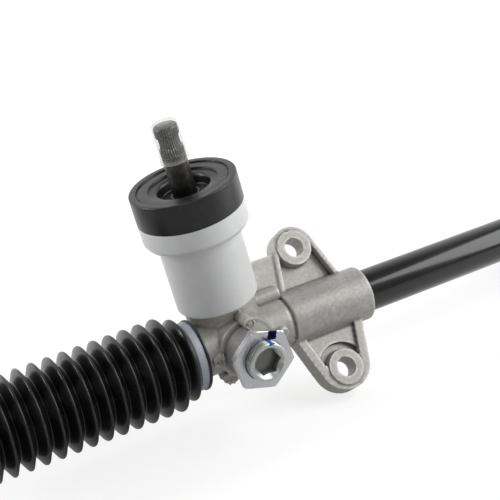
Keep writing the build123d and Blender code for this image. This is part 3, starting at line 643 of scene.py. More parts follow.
def dab_effect():
    """Mask of a brush dab: 1 inside a turned box about a point, its edge broken up by noise."""
    sizes = dict.fromkeys(("X", "Y", "Z", "Half X", "Half Y", "Half Z", "Turn"), 0.0)
    group, tree, given, result = effect("paint_dab", sizes, ("Mask",))
    place = tree.place()
    parts = tree.parts(place)
    x, y, z = (tree.math("SUBTRACT", parts[key], given[key]) for key in "XYZ")
    cosine, sine = tree.math("COSINE", given["Turn"]), tree.math("SINE", given["Turn"])
    across = tree.math("MULTIPLY_ADD", x, cosine, tree.math("MULTIPLY", z, sine))
    up = tree.math("SUBTRACT", tree.math("MULTIPLY", z, cosine), tree.math("MULTIPLY", x, sine))
    furthest = 0.0
    for value, key in ((across, "Half X"), (y, "Half Y"), (up, "Half Z")):
        share = tree.math("DIVIDE", tree.math("ABSOLUTE", value), given[key])
        furthest = tree.math("MAXIMUM", furthest, share)
    ragged = tree.math("MULTIPLY_ADD", tree.noise(place, 700.0), 0.7, furthest)
    tree.fill(result, {"Mask": tree.spread(ragged, 1.22, 1.36, 1.0, 0.0)})
    return group


GRAIN = grain_effect()
BEND_MASKS = edge_effect()
SMUDGE = smudge_effect()
DAB = dab_effect()


def grey(level):
    return (level, level, level, 1.0)


def tint(red, green, blue):
    """Colour as seen on a screen, 0 to 255, turned into the light values that nodes use."""
    out = []
    for channel in (red, green, blue):
        share = channel / 255
        out.append(share / 12.92 if share <= 0.04045 else ((share + 0.055) / 1.055) ** 2.4)
    return (*out, 1.0)


def new_material(name):
    """Material with its node tree and the sockets of its surface."""
    material = bpy.data.materials.new(name)
    material.use_nodes = True
    surface = material.node_tree.nodes["Principled BSDF"]
    return material, Tree(material.node_tree), surface.inputs


def finish(
    name, base, dark=None, light=None, rough=(0.3, 0.45), grain=(900.0, 130.0, 260.0), bump=0.05,
    depth=0.2, wear_and_highlight=0.0, hollow_shade=0.5, tone=0.35, smudge=30.0, layer=None, **shader,
):
    """Procedural finish: base colour varied by grain and smudges, lighter edges (wear, and a painted
    highlight) and painted shade in hollows.

    Colours are given as on a screen. `rough` is the gloss range, `bump` and `depth` the grain's
    strength and its depth in millimetres, `layer(tree, colour)` lays something on top, and further
    words are sockets of the shader itself.
    """
    material, tree, surface = new_material(name)
    skin = tree.group(GRAIN, dict(zip(("Fine", "Coarse", "Pits"), grain)))
    marks = tree.group(SMUDGE, {"Scale": smudge})
    edges = tree.group(BEND_MASKS)
    base = tint(*base)
    dark = tint(*dark) if dark else (*(0.55 * channel for channel in base[:3]), 1.0)
    light = tint(*light) if light else (*(min(1.0, 1.25 * channel) for channel in base[:3]), 1.0)
    colour = base
    for mask, strength, other in (
        (tree.spread(skin["Tone"], 0.35, 0.68, 1.0, 0.0), tone, dark),
        (marks["Mask"], 0.30, light),
        # painted shade: hollows and creases darkened as if they lay in shade
        (edges["Hollow"], hollow_shade, dark),
        # lighter edges: real wear, and on glossy rubber a painted highlight along crests and rims
        (edges["Edge"], wear_and_highlight, light),
    ):
        if strength:
            colour = tree.mix(tree.math("MULTIPLY", mask, strength), colour, other)
    if layer:
        colour = layer(tree, colour)
    relief = {"Strength": bump, "Distance": depth * MM, "Height": skin["Height"]}
    tree.fill(surface, {
        "Base Color": colour,
        "Roughness": tree.spread(marks["Height"], 0.35, 0.65, *rough),
        "Normal": tree.add("ShaderNodeBump", relief).outputs["Normal"],
    })
    tree.fill(surface, {key.replace("_", " "): value for key, value in shader.items()})
    return material


def painted(middle, half, turn, paint):
    """Layer that lays a dab of paint about a point given in millimetres."""
    sizes = {"Turn": turn}
    for key, place, size in zip("XYZ", middle, half):
        sizes.update({key: place * MM, "Half " + key: size * MM})
    return lambda tree, colour: tree.mix(tree.group(DAB, sizes)["Mask"], colour, tint(*paint))


def socket_shade_and_paint(tree, colour):
    """Layer on the plug: painted shade on the socket floor and its deep walls, painted shade in the
    thread roots, and a dab of paint on top.
    """
    forward = tree.parts(tree.place())["Y"]
    # painted shade: darker the further back into the socket
    colour = tree.mix(tree.spread(forward, -0.0455, -0.0405, 0.0, 0.4), colour, tint(96, 97, 94))
    # painted shade in the thread roots
    colour = tree.mix(tree.spread(tree.ribs(), 0.85, 0.35, 0.0, 0.95), colour, tint(46, 46, 44))
    return painted((-61.0, -45.2, 15.0), (3.6, 4.2, 2.4), 0.0, (30, 58, 104))(tree, colour)


def specks(tree, colour):
    """Layer of bright dots where the casting's skin is rubbed, a few to the centimetre."""
    mask = tree.spread(tree.dots(tree.place(), 420.0), 0.05, 0.13, 0.7, 0.0)
    return tree.mix(mask, colour, tint(222, 221, 216))


def serration_shade_and_highlight(tree, colour):
    """Layer of painted shade in the grooves and a painted highlight on the crests, from the attribute
    worked out with the serrations.
    """
    ribs = tree.ribs()
    # painted highlight on the serration crests
    colour = tree.mix(tree.spread(ribs, 0.55, 0.95, 0.0, 0.8), colour, tint(128, 125, 121))
    # painted shade in the serration grooves
    return tree.mix(tree.spread(ribs, 0.48, 0.1, 0.0, 0.95), colour, tint(12, 12, 12))


def clear_plastic():
    """Clear cap: a thin see-through film, denser where it is seen edge on and frosted at its lip."""
    material, tree, surface = new_material("cap_clear_plastic")
    marks = tree.group(SMUDGE, {"Scale": 60.0})
    frosting = tree.spread(tree.parts(tree.place())["Z"], 0.1385, 0.1415, 0.34, 0.0)
    gloss = tree.spread(marks["Height"], 0.35, 0.65, 0.01, 0.06)
    smears = tree.math("MULTIPLY", marks["Mask"], 0.4)
    clear = tree.mix(smears, tint(244, 246, 243), tint(228, 231, 227))
    facing = tree.add("ShaderNodeLayerWeight", {"Blend": 0.5}).outputs["Facing"]
    edge = tree.spread(facing, 0.5, 0.95, 0.0, 1.0)
    film = tree.math("MULTIPLY_ADD", edge, 0.42, 0.07)
    haze = tree.weighted((marks["Mask"], 0.06), (frosting, 0.5))
    tree.fill(surface, {
        "Base Color": tree.mix(edge, clear, tint(196, 198, 190)),
        "Roughness": tree.math("ADD", gloss, frosting),
        "Alpha": tree.math("ADD", film, haze),
        "IOR": 1.45,
    })
    return material


FINISHES = {
    # cast aluminium: strong painted shade in its hollows and creases
    "cast_housing": finish(
        "cast_aluminium", (190, 188, 183), (96, 93, 88), (222, 220, 215), (0.36, 0.50),
        grain=(1700.0, 420.0, 520.0), bump=0.50, depth=0.24, wear_and_highlight=0.75, hollow_shade=0.95, tone=0.40,
        smudge=45.0, layer=specks, Metallic=0.3,
    ),
    "tube_paint": finish(
        "tube_black_paint", (16, 16, 18), (8, 8, 10), (34, 34, 37), (0.14, 0.22),
        bump=0.06, depth=0.1, Coat_Weight=0.5, Coat_Roughness=0.12,
    ),
    "collar_paint": finish("collar_black_paint", (30, 30, 33), bump=0.08),
    "bush_plastic": finish("bush_nylon", (214, 210, 196), rough=(0.4, 0.55), bump=0.06),
    "bearing_steel": finish(
        "bearing_steel", (176, 178, 182), rough=(0.12, 0.25), bump=0.03, Metallic=1.0
    ),
    "cage_steel": finish("cage_steel", (150, 150, 148), Metallic=1.0),
    "clip_steel": finish("clip_spring_steel", (72, 72, 76), Metallic=0.9),
    "oil_seal_rubber": finish("oil_seal_rubber", (42, 36, 34), rough=(0.5, 0.7), bump=0.1),
    "foot_bush": finish("foot_bush_bronze", (176, 142, 92), Metallic=0.9),
    "cover_plastic": finish(
        "cover_white_plastic", (236, 236, 236), (206, 206, 207), (245, 245, 245), (0.30, 0.42),
        depth=0.15, tone=0.25, Subsurface_Weight=0.2, Subsurface_Scale=0.004,
    ),
    # black rubber seal: its lighter edges are a painted highlight along the rims
    "seal_rubber": finish(
        "seal_black_rubber", (16, 16, 18), (6, 6, 7), (72, 72, 76), (0.26, 0.40),
        bump=0.30, depth=0.18, wear_and_highlight=0.8, smudge=70.0,
    ),
    "yoke_metal": finish(
        "yoke_sintered", (128, 126, 122), rough=(0.45, 0.6), bump=0.15, Metallic=0.8
    ),
    "spring_steel": finish("yoke_spring_steel", (112, 112, 116), rough=(0.25, 0.4), Metallic=1.0),
    # zinc plug: painted shade in its hollows, and its layer paints shade into the socket and thread
    # roots
    "plug_zinc": finish(
        "plug_zinc", (206, 209, 206), (104, 104, 102), (240, 242, 240), (0.26, 0.42),
        bump=0.16, depth=0.1, wear_and_highlight=0.7, hollow_shade=0.7, smudge=120.0, layer=socket_shade_and_paint, Metallic=0.85,
    ),
    "nut_zinc": finish(
        "nut_zinc", (162, 164, 166), (104, 106, 109), (232, 235, 238), (0.22, 0.34),
        bump=0.14, depth=0.1, wear_and_highlight=0.9, smudge=90.0, Metallic=1.0,
        layer=painted((-58.2, -41.5, 16.8), (3.7, 0.9, 3.9), -0.30, (16, 22, 54)),
    ),
    "rack_steel": finish(
        "rack_ground_steel", (150, 151, 155), rough=(0.15, 0.3), bump=0.04, Metallic=1.0
    ),
    "shaft_steel": finish(
        "shaft_dark_steel", (84, 82, 80), (34, 33, 33), (150, 148, 146), (0.24, 0.38),
        bump=0.08, depth=0.08, wear_and_highlight=0.3, layer=serration_shade_and_highlight, Metallic=0.9,
    ),
    "cap_clear": clear_plastic(),
    "mount_rubber": finish("mount_rubber", (38, 38, 39), rough=(0.5, 0.7), bump=0.12),
    "bracket_paint": finish("bracket_black_paint", (32, 32, 34), bump=0.1, wear_and_highlight=0.3),
    "socket_steel": finish(
        "socket_forged_steel", (120, 118, 114), rough=(0.35, 0.5), bump=0.1, Metallic=0.9
    ),
    "rod_steel": finish(
        "tie_rod_steel", (96, 95, 93), (52, 50, 48), (160, 158, 155),
        bump=0.12, depth=0.12, wear_and_highlight=0.4, Metallic=0.85,
    ),
    # black rubber boots: the lighter edges are a painted highlight along the crests, and the valleys
    # get painted shade
    "boot_rubber": finish(
        "boot_black_rubber", (15, 15, 16), (3, 3, 4), (70, 70, 72), (0.18, 0.27),
        bump=0.10, depth=0.12, wear_and_highlight=1.0, hollow_shade=1.0, tone=0.25, smudge=60.0,
    ),
    "band_zinc": finish(
        "band_blue_zinc", (192, 197, 206), (150, 155, 164), (216, 221, 228), (0.44, 0.56),
        depth=0.08, Metallic=0.2,
    ),
    "clamp_steel": finish(
        "clamp_zinc", (186, 188, 192), rough=(0.25, 0.4), bump=0.06, wear_and_highlight=0.4, Metallic=0.9
    ),
}

# Carried-over solids keep their shape and take the finish of their slot.
for part in frame["record"]["subparts"]:
    node = frame["nodes"][part["node"]]
    node.data.materials.clear()
    node.data.materials.append(FINISHES[part["material_slot"]])


# Pieces


def gear_housing():
    """Cast housing: the skin of its distance field."""
    skin = skin_of(casting, (-112.0, -52.0, -67.0), (41.5, 57.0, 67.0), 1.05)
    return make_piece("housing_casting", "cast_housing", skin, sharp=38.0)


def rack_tube():
    """Long tube, its ends rounded over."""
    outline = [(TUBE_R, TUBE_LEFT, 0.3), (TUBE_R, TUBE_RIGHT, 0.6)]
    outline += [(TUBE_BORE_R, TUBE_RIGHT, 0.6), (TUBE_BORE_R, TUBE_LEFT, 0.3)]
    return make_piece("tube_steel", "tube_paint", turned(RACK, rounded(outline), 128))


def end_collar():
    """Collar on the tube's far end, which carries the boot."""
    low = TUBE_RIGHT - 18.0
    outline = [(BOOT_SEAT_R, low, 1.2), (BOOT_SEAT_R, TUBE_RIGHT, 0.8)]
    outline += [(TUBE_R + FIT, TUBE_RIGHT, 0), (TUBE_R + FIT, low, 0)]
    return make_piece("tube_collar", "collar_paint", turned(RACK, rounded(outline), 128))


def dust_cover():
    """White bell with a flange; its inner collar grips the tower."""
    outline = [
        (27.4, 30.8, 0.6), (29.8, 30.8, 0.9), (29.8, 84.5, 1.5), (36.0, 84.5, 2.2), (38.3, 88.0, 2.5),
        (38.3, 102.0, 0.4), (35.9, 102.0, 0.3), (35.9, 88.6, 1.0), (33.8, 86.9, 1.0), (27.4, 86.9, 0.6),
        (27.4, 52.43, 1.0), (13.5, 52.43, 0.8), (13.5, 50.03, 0.8), (23.03, 50.03, 0),
        (23.03, 36.0, 0.5), (25.23, 36.0, 0.5), (25.23, 50.03, 0.8), (27.4, 50.03, 0.8),
    ]
    return make_piece("cover_bell", "cover_plastic", turned(PINION, rounded(outline), 160))


def dust_seal():
    """Rubber seal: rim, two steps down to the rounded hole, and a thin lip that reaches the shaft."""
    outline = [
        (38.4, 102.03, 0.4), (38.4, 123.3, 0.9), (33.3, 123.3, 0.4), (33.1, 122.0, 0.2),
        (32.5, 121.9, 0.2), (32.3, 122.4, 0.5), (24.9, 122.4, 0.5), (24.7, 120.9, 0.3),
        (24.0, 120.8, 0.3), (18.9, 120.6, 3.4), (18.0, 112.8, 1.0), (10.9, 112.8, 0.4),
        (10.4, 115.0, 0.3), (8.85, 115.0, 0.3), (8.85, 109.8, 0.4), (18.5, 109.4, 2.0),
        (21.4, 116.3, 2.0), (32.87, 116.3, 1.5), (32.87, 96.03, 0.6), (35.87, 96.03, 0.6),
        (35.87, 102.03, 0),
    ]
    return make_piece("seal_rubber_ring", "seal_rubber", turned(PINION, rounded(outline), 192))


def pinion_section():
    """Tooth outline round the axis: involute flanks, straight roots, arcs at tip and bottom."""
    transverse = math.atan(math.tan(PRESSURE_ANGLE) / math.cos(HELIX))
    base_r = PITCH_R * math.cos(transverse)
    root_r = PITCH_R - DEDENDUM
    half = TOOTH_THICKNESS / math.cos(HELIX) / 2 / PITCH_R + math.tan(transverse) - transverse
    radius = np.linspace(base_r, PITCH_R + ADDENDUM, 6)
    roll = np.arccos(np.minimum(1, base_r / radius))
    flank = half - (np.tan(roll) - roll)
    root_half = math.pi / TEETH - base_r * (math.pi / TEETH - half) / root_r
    r = np.concatenate([[root_r], radius, radius[::-1], [root_r], [root_r]])
    a = np.concatenate([[-root_half], -flank, flank[::-1], [root_half], [math.pi / TEETH]])
    angle = np.concatenate([a + TAU * tooth / TEETH - math.pi / 2 for tooth in range(TEETH)])
    return np.tile(r, TEETH) * np.cos(angle), np.tile(r, TEETH) * np.sin(angle)


def pinion_gear():
    """Helical gear: the tooth outline turned by tan(helix) / pitch radius for each millimetre up."""
    x, y = pinion_section()
    height = np.linspace(-TOOTH_LENGTH / 2, TOOTH_LENGTH / 2, 36)[:, None]
    twist = math.tan(HELIX) / PITCH_R * height
    turned_x = x * np.cos(twist) - y * np.sin(twist)
    turned_y = x * np.sin(twist) + y * np.cos(twist)
    rows = np.stack([turned_x, turned_y, np.repeat(height, len(x), axis=1)], axis=-1)
    ends = np.zeros((2, len(x), 3))
    ends[..., 2] = height[[0, -1]]
    rows = np.concatenate([ends[:1], rows, ends[1:]])
    return PINION.out(rows), grid_faces(len(rows), len(x))


def pinion_shaft():
    """Helical gear and turned shaft; the input end is serrated and waisted for its clamp bolt."""
    corners = [
        (0, -26.0, 0), (5.4, -26.0, 0.3), (JOURNAL_R, -25.4, 0.3), (JOURNAL_R, -16.0, 0.2),
        (0, -16.0, 0),
    ]
    journal = turned(PINION, rounded(corners, closed=False), 64, closed=False)
    corners = [
        (0, 16.0, 0), (SHOULDER_R, 16.0, 0.3), (SHOULDER_R, 22.0, 0.3), (SHAFT_R, 22.0, 0),
        (SHAFT_R, 32.05, 0), (SHAFT_R - 0.8, 32.05, 0), (SHAFT_R - 0.8, 33.35, 0),
        (SHAFT_R, 33.35, 0), (SHAFT_R, 143.2, 0.4), (SHAFT_R - 0.15, 143.9, 0.3),
        (SHAFT_R, 144.5, 0.2), (SHAFT_R, 149.6, 0.8), (7.35, 151.2, 1.5), (7.25, 154.5, 3.0),
        (7.35, 157.8, 1.5), (SHAFT_R, 159.4, 0.8), (SHAFT_R, 165.0, 0.3), (7.6, 166.2, 0.4),
        (0, 166.2, 0),
    ]
    outline = divided(rounded(corners, closed=False), 0.9)

    def serrated(h):
        """1 along the serrations, fading to 0 within a millimetre at both ends."""
        start, end = (h - SERRATION_START) / 0.8, (SERRATION_END - h) / 0.8
        return np.clip(start, 0, 1) * np.clip(end, 0, 1)

    def serrate(r, h, t):
        """V grooves round the shaft: depth times a triangle wave of the angle, shallow in the waist."""
        depth = np.clip(0.62 - 0.30 * np.clip(SHAFT_R - r, 0, 1), 0, 1)
        return r - depth * serrated(h) * triangle(t * SERRATIONS / TAU), h

    def ridges(local):
        """How near a serration's crest: 0 in the groove, 1 on the crest, and a half elsewhere."""
        turn = np.arctan2(local[:, 1], local[:, 0])
        crest = 1 - triangle(turn * SERRATIONS / TAU)
        return 0.5 + serrated(local[:, 2]) * (crest - 0.5)

    shank = turned(PINION, outline, SERRATIONS * 8, closed=False, swell=serrate)
    surfaces = (pinion_gear(), journal, shank)
    piece = make_piece("shaft_with_pinion", "shaft_steel", *surfaces, sharp=28.0)
    mark_ribs(piece, PINION, ridges)
    return piece


def shaft_cap():
    """Clear soft cup pushed over the shaft's end: a rolled lip below, a thin wall and a flat top."""
    outline = [
        (8.75, 139.8, 0.3), (10.2, 139.8, 0.5), (10.3, 141.0, 0.5), (9.85, 142.4, 0.8),
        (9.7, 152.0, 2.0), (9.6, 168.8, 0.5), (9.75, 169.3, 0.3), (9.5, 170.0, 0.4),
        (8.9, 169.6, 0.3), (0, 169.4, 0), (0, 168.4, 0), (8.7, 168.2, 0.8),
    ]
    return make_piece("cap_cup", "cap_clear", turned(PINION, rounded(outline), 96))


def hex_radius(across, t, turned_by=0.0):
    """Distance from the axis to a hexagon's side at an angle: half the width over a cosine."""
    sixth = TAU / 6
    return across / 2 / np.cos((t - turned_by) % sixth - sixth / 2)


def yoke_locknut():
    """Hexagon nut: flats, the outermost corners turned back to a cone, threaded hole."""
    across, low, high, turn = 41.9, YOKE_BOSS_FACE, 41.55, math.radians(-17.0)
    edge, cone_start, bore_r = 0.3, 22.7, PLUG_R + FIT
    outline = np.array([
        (bore_r, low + 0.5), (15.0, low), (-1, low), (-2, low + edge), (-2, high - 2.4),
        (-3, high - edge), (-4, high), (15.1, high), (bore_r, high - 0.5),
    ])

    def hexagonal(r, h, t):
        """Rows marked below 0 follow the hexagon: -1 foot, -2 side, -3 under the cone, -4 face."""
        side = hex_radius(across, t, turn)
        drop = np.maximum(0, side - cone_start) * math.tan(math.radians(30))
        inner = np.minimum(side - edge, cone_start)
        radius = np.select([r == -1, (r == -2) | (r == -3), r == -4], [side - edge, side, inner], r)
        return radius, np.where(r == -3, h - drop, h)

    body = turned(YOKE, outline, 288, swell=hexagonal)
    return make_piece("locknut_hexagon", "nut_zinc", body, sharp=20.0)


def yoke_plug():
    """Adjuster plug: outside thread, chamfered face, hexagon socket with a cone at its mouth."""
    face, floor, across, mouth_r, chamfer = 48.4, 40.4, 17.6, 11.45, 0.1
    start, end, pitch = 31.0, 47.7, 2.0
    outline = [(0, 34.0), (9.5, 34.0), (9.5, 30.0), (YOKE_BORE_R, 30.0)]
    outline += [(PLUG_R, height) for height in np.arange(start, end, 0.16)]
    outline += [(13.75, face - chamfer), (13.5, face), (11.6, face), (mouth_r, face - chamfer)]
    outline += [(-1, -1), (-1, -2), (-1, -3), (-1, floor), (0, floor)]

    def threaded(r, h, t):
        """Thread: a V of the height less one pitch a turn, its crest and root cut flat.

        Rows marked -1 follow the socket, and the heights -1 to -3 are those of the cone.
        """
        wave = np.clip(1.5 * triangle(h / pitch - t / TAU) - 0.35, 0, 1)
        run_in = np.clip(h - start, 0, 1) * np.clip(end + 0.2 - h, 0.25, 1)
        side = hex_radius(across, t)
        mouth = (mouth_r - side) * 1.1
        depth = np.select([h == -1, h == -2, h == -3], [mouth - 0.05, mouth + 0.25, mouth + 1.5], 0)
        socket = r == -1
        rows = [r == PLUG_R, socket & (h == -1), socket]
        radius = np.select(rows, [r - wave * run_in, side + 0.04, side], r)
        return radius, np.where(socket & (h < 0), face - chamfer - depth, h)

    def ridges(local):
        """How far up a thread's flank: 0 at the root, 1 at the crest and elsewhere."""
        radius, height = np.hypot(local[:, 0], local[:, 1]), local[:, 2]
        threads = (radius > 13.4) & (height > start) & (height < end)
        return np.where(threads, np.clip((radius - 13.55) / 0.9, 0, 1), 1.0)

    body = turned(YOKE, np.array(outline, float), 192, closed=False, swell=threaded)
    piece = make_piece("plug_threaded", "plug_zinc", body, sharp=30.0)
    mark_ribs(piece, YOKE, ridges)
    return piece


def boot_outline():
    """Outer and inner lines of a boot, and the height of the valley at which it is split.

    The folds are sharp-sided waves: a peak of small radius, straight flanks and a rounded valley.
    """
    lip = -BOOT_REACH
    first, half = lip + FIRST_FOLD, FOLD_PITCH / 2
    outer = [(23.03, lip, 0), (26.2, lip, 1.0), (26.2, lip + 2.0, 0.6), (24.4, lip + 2.0, 0.1)]
    outer += [(24.4, lip + 8.0, 0.1), (25.4, lip + 8.15, 0.3)]
    inner = [(23.03, lip + 8.75, 0)]
    peaks = [(first, 30.2)]
    peaks += [(first + FOLD_PITCH * (index + 1), 34.3) for index in range(WIDE_FOLDS)]
    for height, radius in peaks:
        outer += [(radius, height - 0.6, 0.8), (radius, height + 0.6, 0.8), (25.0, height + half, 0.9)]
        inner += [(radius - 3.0, height, 0.8), (23.5, height + half, 0.9)]
    outer += [(10.6, CUFF, 2.0), (10.4, CUFF + 8.2, 0.3), (9.9, CUFF + 8.8, 0.2)]
    outer += [(9.9, CUFF + 14.2, 0.2), (10.6, CUFF + 14.8, 0.3), (10.4, CUFF + 18.0, 0.6)]
    inner += [(7.58, CUFF + 1.5, 0.8), (7.58, CUFF + 18.0, 0)]
    return outer, inner, first + FOLD_PITCH * 9.5


def boot(side, place):
    """Rubber bellows in two pieces that meet in a valley, so that each spans one joint."""
    outer, inner, split = boot_outline()
    outer, inner = rounded(outer, closed=False), rounded(inner, closed=False, steps=3)

    def piece_where(name, keep):
        """Piece of the boot made of the outline's points whose height is kept."""
        loop = np.concatenate([outer[keep(outer[:, 1])], inner[keep(inner[:, 1])][::-1]])
        loop = np.concatenate([divided(loop, 3.0), loop[:1]])
        body = turned(place, loop, 112)
        return make_piece(f"{side}_boot_{name}", "boot_rubber", body, sharp=50.0)

    def at(height):
        return (float(place.out(np.array([0, 0, height]))[0]) * MM, 0, 0)

    folds, tail = piece_where("folds", lambda h: h <= split), piece_where("end", lambda h: h >= split)
    at(-BOOT_REACH + 10.0)
    at(split)
    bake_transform(folds)
    at(split)
    at(split + 44.0)
    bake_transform(tail)
    for piece in (folds, tail):
        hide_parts(side + "_boot")


def large_clamp(side, place):
    """Pressed ring on the boot's large cuff."""
    low, high = -BOOT_REACH + 2.05, -BOOT_REACH + 7.95
    outline = [(24.43, low, 0), (25.2, low, 0.3), (25.2, high, 0.3), (24.43, high, 0)]
    piece = make_piece(f"{side}_band", "band_zinc", turned(place, rounded(outline), 128))
    stand_in(piece, "housing", side + "_boot_large_clamp")


def small_clamp(side, place):
    """Spring clamp on the small cuff."""
    low, high = CUFF + 9.0, CUFF + 14.0
    outline = [(10.48, low, 0.4), (11.88, low, 0.5), (11.88, high, 0.5), (10.48, high, 0.4)]
    piece = make_piece(f"{side}_small_clamp", "clamp_steel", turned(place, rounded(outline), 96))
    stand_in(piece, side + "_rod", side + "_boot_small_clamp")


def tie_rod(side, place):
    """Tie rod: ball, neck, shank with two wrench flats, and a rolled thread."""
    ball_turn = np.linspace(-math.pi / 2, math.acos(ROD_NECK_R / ROD_BALL_R), 24)
    ball = ROD_BALL_R * np.stack([np.cos(ball_turn), np.sin(ball_turn)], axis=1)
    corners = [
        (ROD_NECK_R, 12.0, 1.5), (ROD_NECK_R, 18.0, 1.0), (ROD_R, 20.0, 1.0), (ROD_R, 202.0, 0),
        (ROD_R, 216.0, 0), (ROD_R, 230.0, 0.4), (ROD_THREAD_R, 230.6, 0),
    ]
    shank = divided(rounded(corners, closed=False), 4.0)
    thread = np.stack([np.full(440, ROD_THREAD_R), np.linspace(230.8, 298.6, 440)], axis=1)
    tip = np.array([(6.2, 299.4), (5.6, 300.0), (0.0, 300.0)])
    outline = np.concatenate([ball, shank, thread, tip])
    flats_at, flats_half_length, half_across, depth = 209.0, 6.0, 6.0, 0.7

    def shaped(r, h, t):
        """Flats: the radius is held to half the width over the cosine; thread: a V one pitch a turn."""
        flat = half_across / np.maximum(np.abs(np.cos(t)), 1e-3)
        ramp = np.clip(1.5 - np.abs(h - flats_at) + flats_half_length, 0, 1)
        r = np.where(ramp > 0, np.minimum(r, flat * ramp + ROD_R * (1 - ramp)), r)
        wave = triangle(h / ROD_THREAD_PITCH - t / TAU)
        run_in = np.clip((h - 231.0) / 1.5, 0, 1) * np.clip((299.0 - h) / 1.5, 0, 1)
        return np.where((h > 231.0) & (h < 298.8), r - depth * wave * run_in, r), h

    body = turned(place, outline, 72, closed=False, swell=shaped)
    piece = make_piece(f"{side}_rod_bar", "rod_steel", body)
    stand_in(piece, side + "_rod", side + "_tie_rod")


def strap(points):
    """Distance to the pressed bracket: an arch over the rubber, two legs, and feet with bolt holes."""
    half_wall, half_length, foot_end, foot_round = 2.0, 17.0, 46.0, 8.0
    local = CLAMP.into(points)
    x, y, along = np.abs(local[:, 0]), local[:, 1], local[:, 2]
    from_middle = np.hypot(x, np.maximum(y, 0))
    wall = np.maximum(np.abs(from_middle - 26.03) - half_wall, -22.0 - y)
    foot = np.maximum(np.abs(x - 39.0) - 15.0, np.abs(y + 20.0) - half_wall)
    metal = slab(join(wall, foot, 5.0), along, -half_length, half_length, 0.8)
    past_side = np.maximum(np.abs(along) - (half_length - foot_round), 0)
    foot_corner = np.hypot(np.maximum(x - foot_end, 0), past_side) - foot_round
    metal = cut(metal, -foot_corner, 0.3)
    holes = np.maximum(np.hypot(x - 42.0, along) - 5.5, -26.0 - y)
    return cut(metal, np.maximum(holes, y + 14.0), 0.6)


def tube_mount():
    """Rubber block round the tube, and the pressed bracket over it."""
    count, outer_r, foot_y = 160, 24.0, -22.0
    turn = np.linspace(-0.10, math.pi + 0.10, 49)
    top = outer_r * np.stack([np.cos(turn), np.sin(turn)], axis=1)
    foot = [(-outer_r, -10, 0), (-outer_r, foot_y, 1.5), (outer_r, foot_y, 1.5), (outer_r, -10, 0)]
    outside = np.concatenate([top, rounded(foot, closed=False)])
    length = np.concatenate([[0], np.cumsum(np.linalg.norm(np.diff(outside, axis=0), axis=1))])
    mark = np.linspace(0, length[-1], count, endpoint=False)
    outside = np.stack([np.interp(mark, length, outside[:, k]) for k in (0, 1)], axis=1)
    angle = np.arctan2(outside[:, 1], outside[:, 0])
    inside = (TUBE_R + FIT) * np.stack([np.cos(angle), np.sin(angle)], axis=1)
    low_rows = ((0, -20), (0.1, -20), (0.94, -20), (1, -19.4))
    rows = []
    for share, height in low_rows + tuple((share, -height) for share, height in low_rows[::-1]):
        flat = inside + (outside - inside) * share
        rows.append(np.concatenate([flat, np.full((count, 1), float(height))], axis=1))
    body = (CLAMP.out(np.stack(rows)), grid_faces(len(rows), count, True))
    rubber = make_piece("tube_rubber", "mount_rubber", body, sharp=40.0)
    stand_in(rubber, "housing", "mounting_rubber")
    skin = skin_of(strap, (246.0, -60.0, -62.0), (284.0, 60.0, 62.0), 1.0)
    bracket = make_piece("tube_bracket", "bracket_paint", skin, sharp=38.0)
    stand_in(bracket, "housing", "mounting_bracket")


for piece_maker, body_name, node_name in (
    (gear_housing, "housing", "gear_housing"),
    (rack_tube, "housing", "rack_tube"),
    (end_collar, "housing", "tube_end_collar"),
    (dust_cover, "housing", "dust_cover"),
    (dust_seal, "housing", "dust_seal"),
    (pinion_shaft, "pinion", "pinion_shaft"),
    (shaft_cap, "shaft_cap", "pinion_cap"),
    (yoke_locknut, "housing", "yoke_locknut"),
    (yoke_plug, "housing", "yoke_plug"),
):
    stand_in(piece_maker(), body_name, node_name)
for side_name, side_place in (("left", LEFT), ("right", RIGHT)):
    for side_maker in (boot, large_clamp, small_clamp, tie_rod):
        side_maker(side_name, side_place)
tube_mount()


# Studio


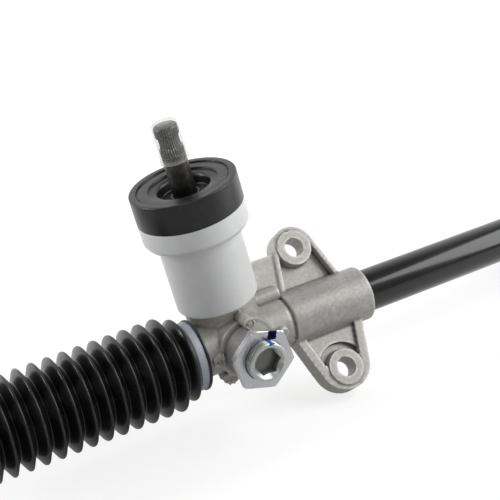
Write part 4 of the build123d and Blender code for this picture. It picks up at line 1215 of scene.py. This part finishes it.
def studio_floor():
    """Plain pale floor just under the part, white to the camera.

    Its glow grows with the distance from the part, and reflections see less of it in front.
    """
    half_size, height = 20.0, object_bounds()[0].z - 0.0005
    mesh = bpy.data.meshes.new("studio_floor")
    corners = ((-1, -1), (1, -1), (1, 1), (-1, 1))
    mesh.from_pydata([(x * half_size, y * half_size, height) for x, y in corners], [], [(0, 1, 2, 3)])
    material, tree, surface = new_material("floor_paper")
    place = tree.place()
    parts = tree.parts(place)
    behind = tree.spread(tree.math("ADD", parts["X"], parts["Y"]), -0.22, 0.25, 0.08, 1.0)
    path = tree.add("ShaderNodeLightPath").outputs
    seen = tree.math("MULTIPLY_ADD", path["Is Glossy Ray"], behind, path["Is Camera Ray"])
    seen = tree.math("ADD", seen, path["Is Transmission Ray"])
    away = tree.add("ShaderNodeVectorMath", {0: place}, operation="LENGTH").outputs["Value"]
    strength = tree.spread(away, 0.35, 0.9, 0.68, 0.95)
    tree.fill(surface, {
        "Base Color": grey(0.45),
        "Roughness": 0.9,
        "Specular IOR Level": 0.1,
        "Emission Color": grey(1.0),
        "Emission Strength": tree.math("MULTIPLY", seen, strength),
    })
    mesh.materials.append(material)
    add_object("studio_floor", mesh)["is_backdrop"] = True


def soft_lamp(name, location, size, power):
    """Rectangular lamp that faces the part's origin; sizes in metres, power in watts."""
    lamp = bpy.data.lights.new(name, "AREA")
    lamp.shape = "RECTANGLE"
    lamp.size, lamp.size_y = size
    lamp.energy = power
    holder = add_object(name, lamp)
    holder.location = location
    holder.rotation_euler = (-Vector(location)).to_track_quat("-Z", "Y").to_euler()


def studio_world():
    """Light tent: bright behind and to the right, darker in front, white to the camera."""
    world = bpy.data.worlds.new("light_tent")
    bpy.context.scene.world = world
    world.use_nodes = True
    tree = Tree(world.node_tree)
    parts = tree.parts(tree.add("ShaderNodeTexCoord").outputs["Generated"])
    back = tree.spread(parts["Y"], 0.15, 0.75, 0.22, 1.0)
    right = tree.spread(parts["X"], 0.3, 0.95, 0.0, 0.5)
    level = tree.math("MINIMUM", tree.math("ADD", back, right), 1.0)
    path = tree.add("ShaderNodeLightPath").outputs
    seen = tree.math("MAXIMUM", path["Is Camera Ray"], path["Is Transmission Ray"])
    background = world.node_tree.nodes["Background"].inputs
    tree.fill(background, {"Color": tree.mix(seen, level, grey(1.0)), "Strength": 1.0})


def studio_camera():
    """Camera at the photograph's angle."""
    camera = bpy.data.cameras.new("photo_camera")
    camera.lens = 91.42
    camera.sensor_width = 36.0
    holder = add_object("photo_camera", camera)
    right, up = Vector((0.87173, -0.4689, -0.14215)), Vector((0.30243, 0.28658, 0.90908))
    back = right.cross(up).normalized()
    turn = Matrix((right.normalized(), back.cross(right).normalized(), back)).transposed()
    holder.matrix_world = Matrix.Translation((-0.3904, -0.7472, 0.4136)) @ turn.to_4x4()
    bpy.context.scene.camera = holder


studio_floor()
studio_world()
studio_camera()
soft_lamp("key_box", (0.95, -0.61, 0.74), (1.1, 1.1), 12)
soft_lamp("fill_box", (-0.45, -0.75, 1.1), (0.6, 0.6), 0.9)
soft_lamp("back_strip", (-1.2, 0.5, 0.5), (0.3, 1.0), 6.5)

bpy.context.scene.view_settings.view_transform = "Standard"
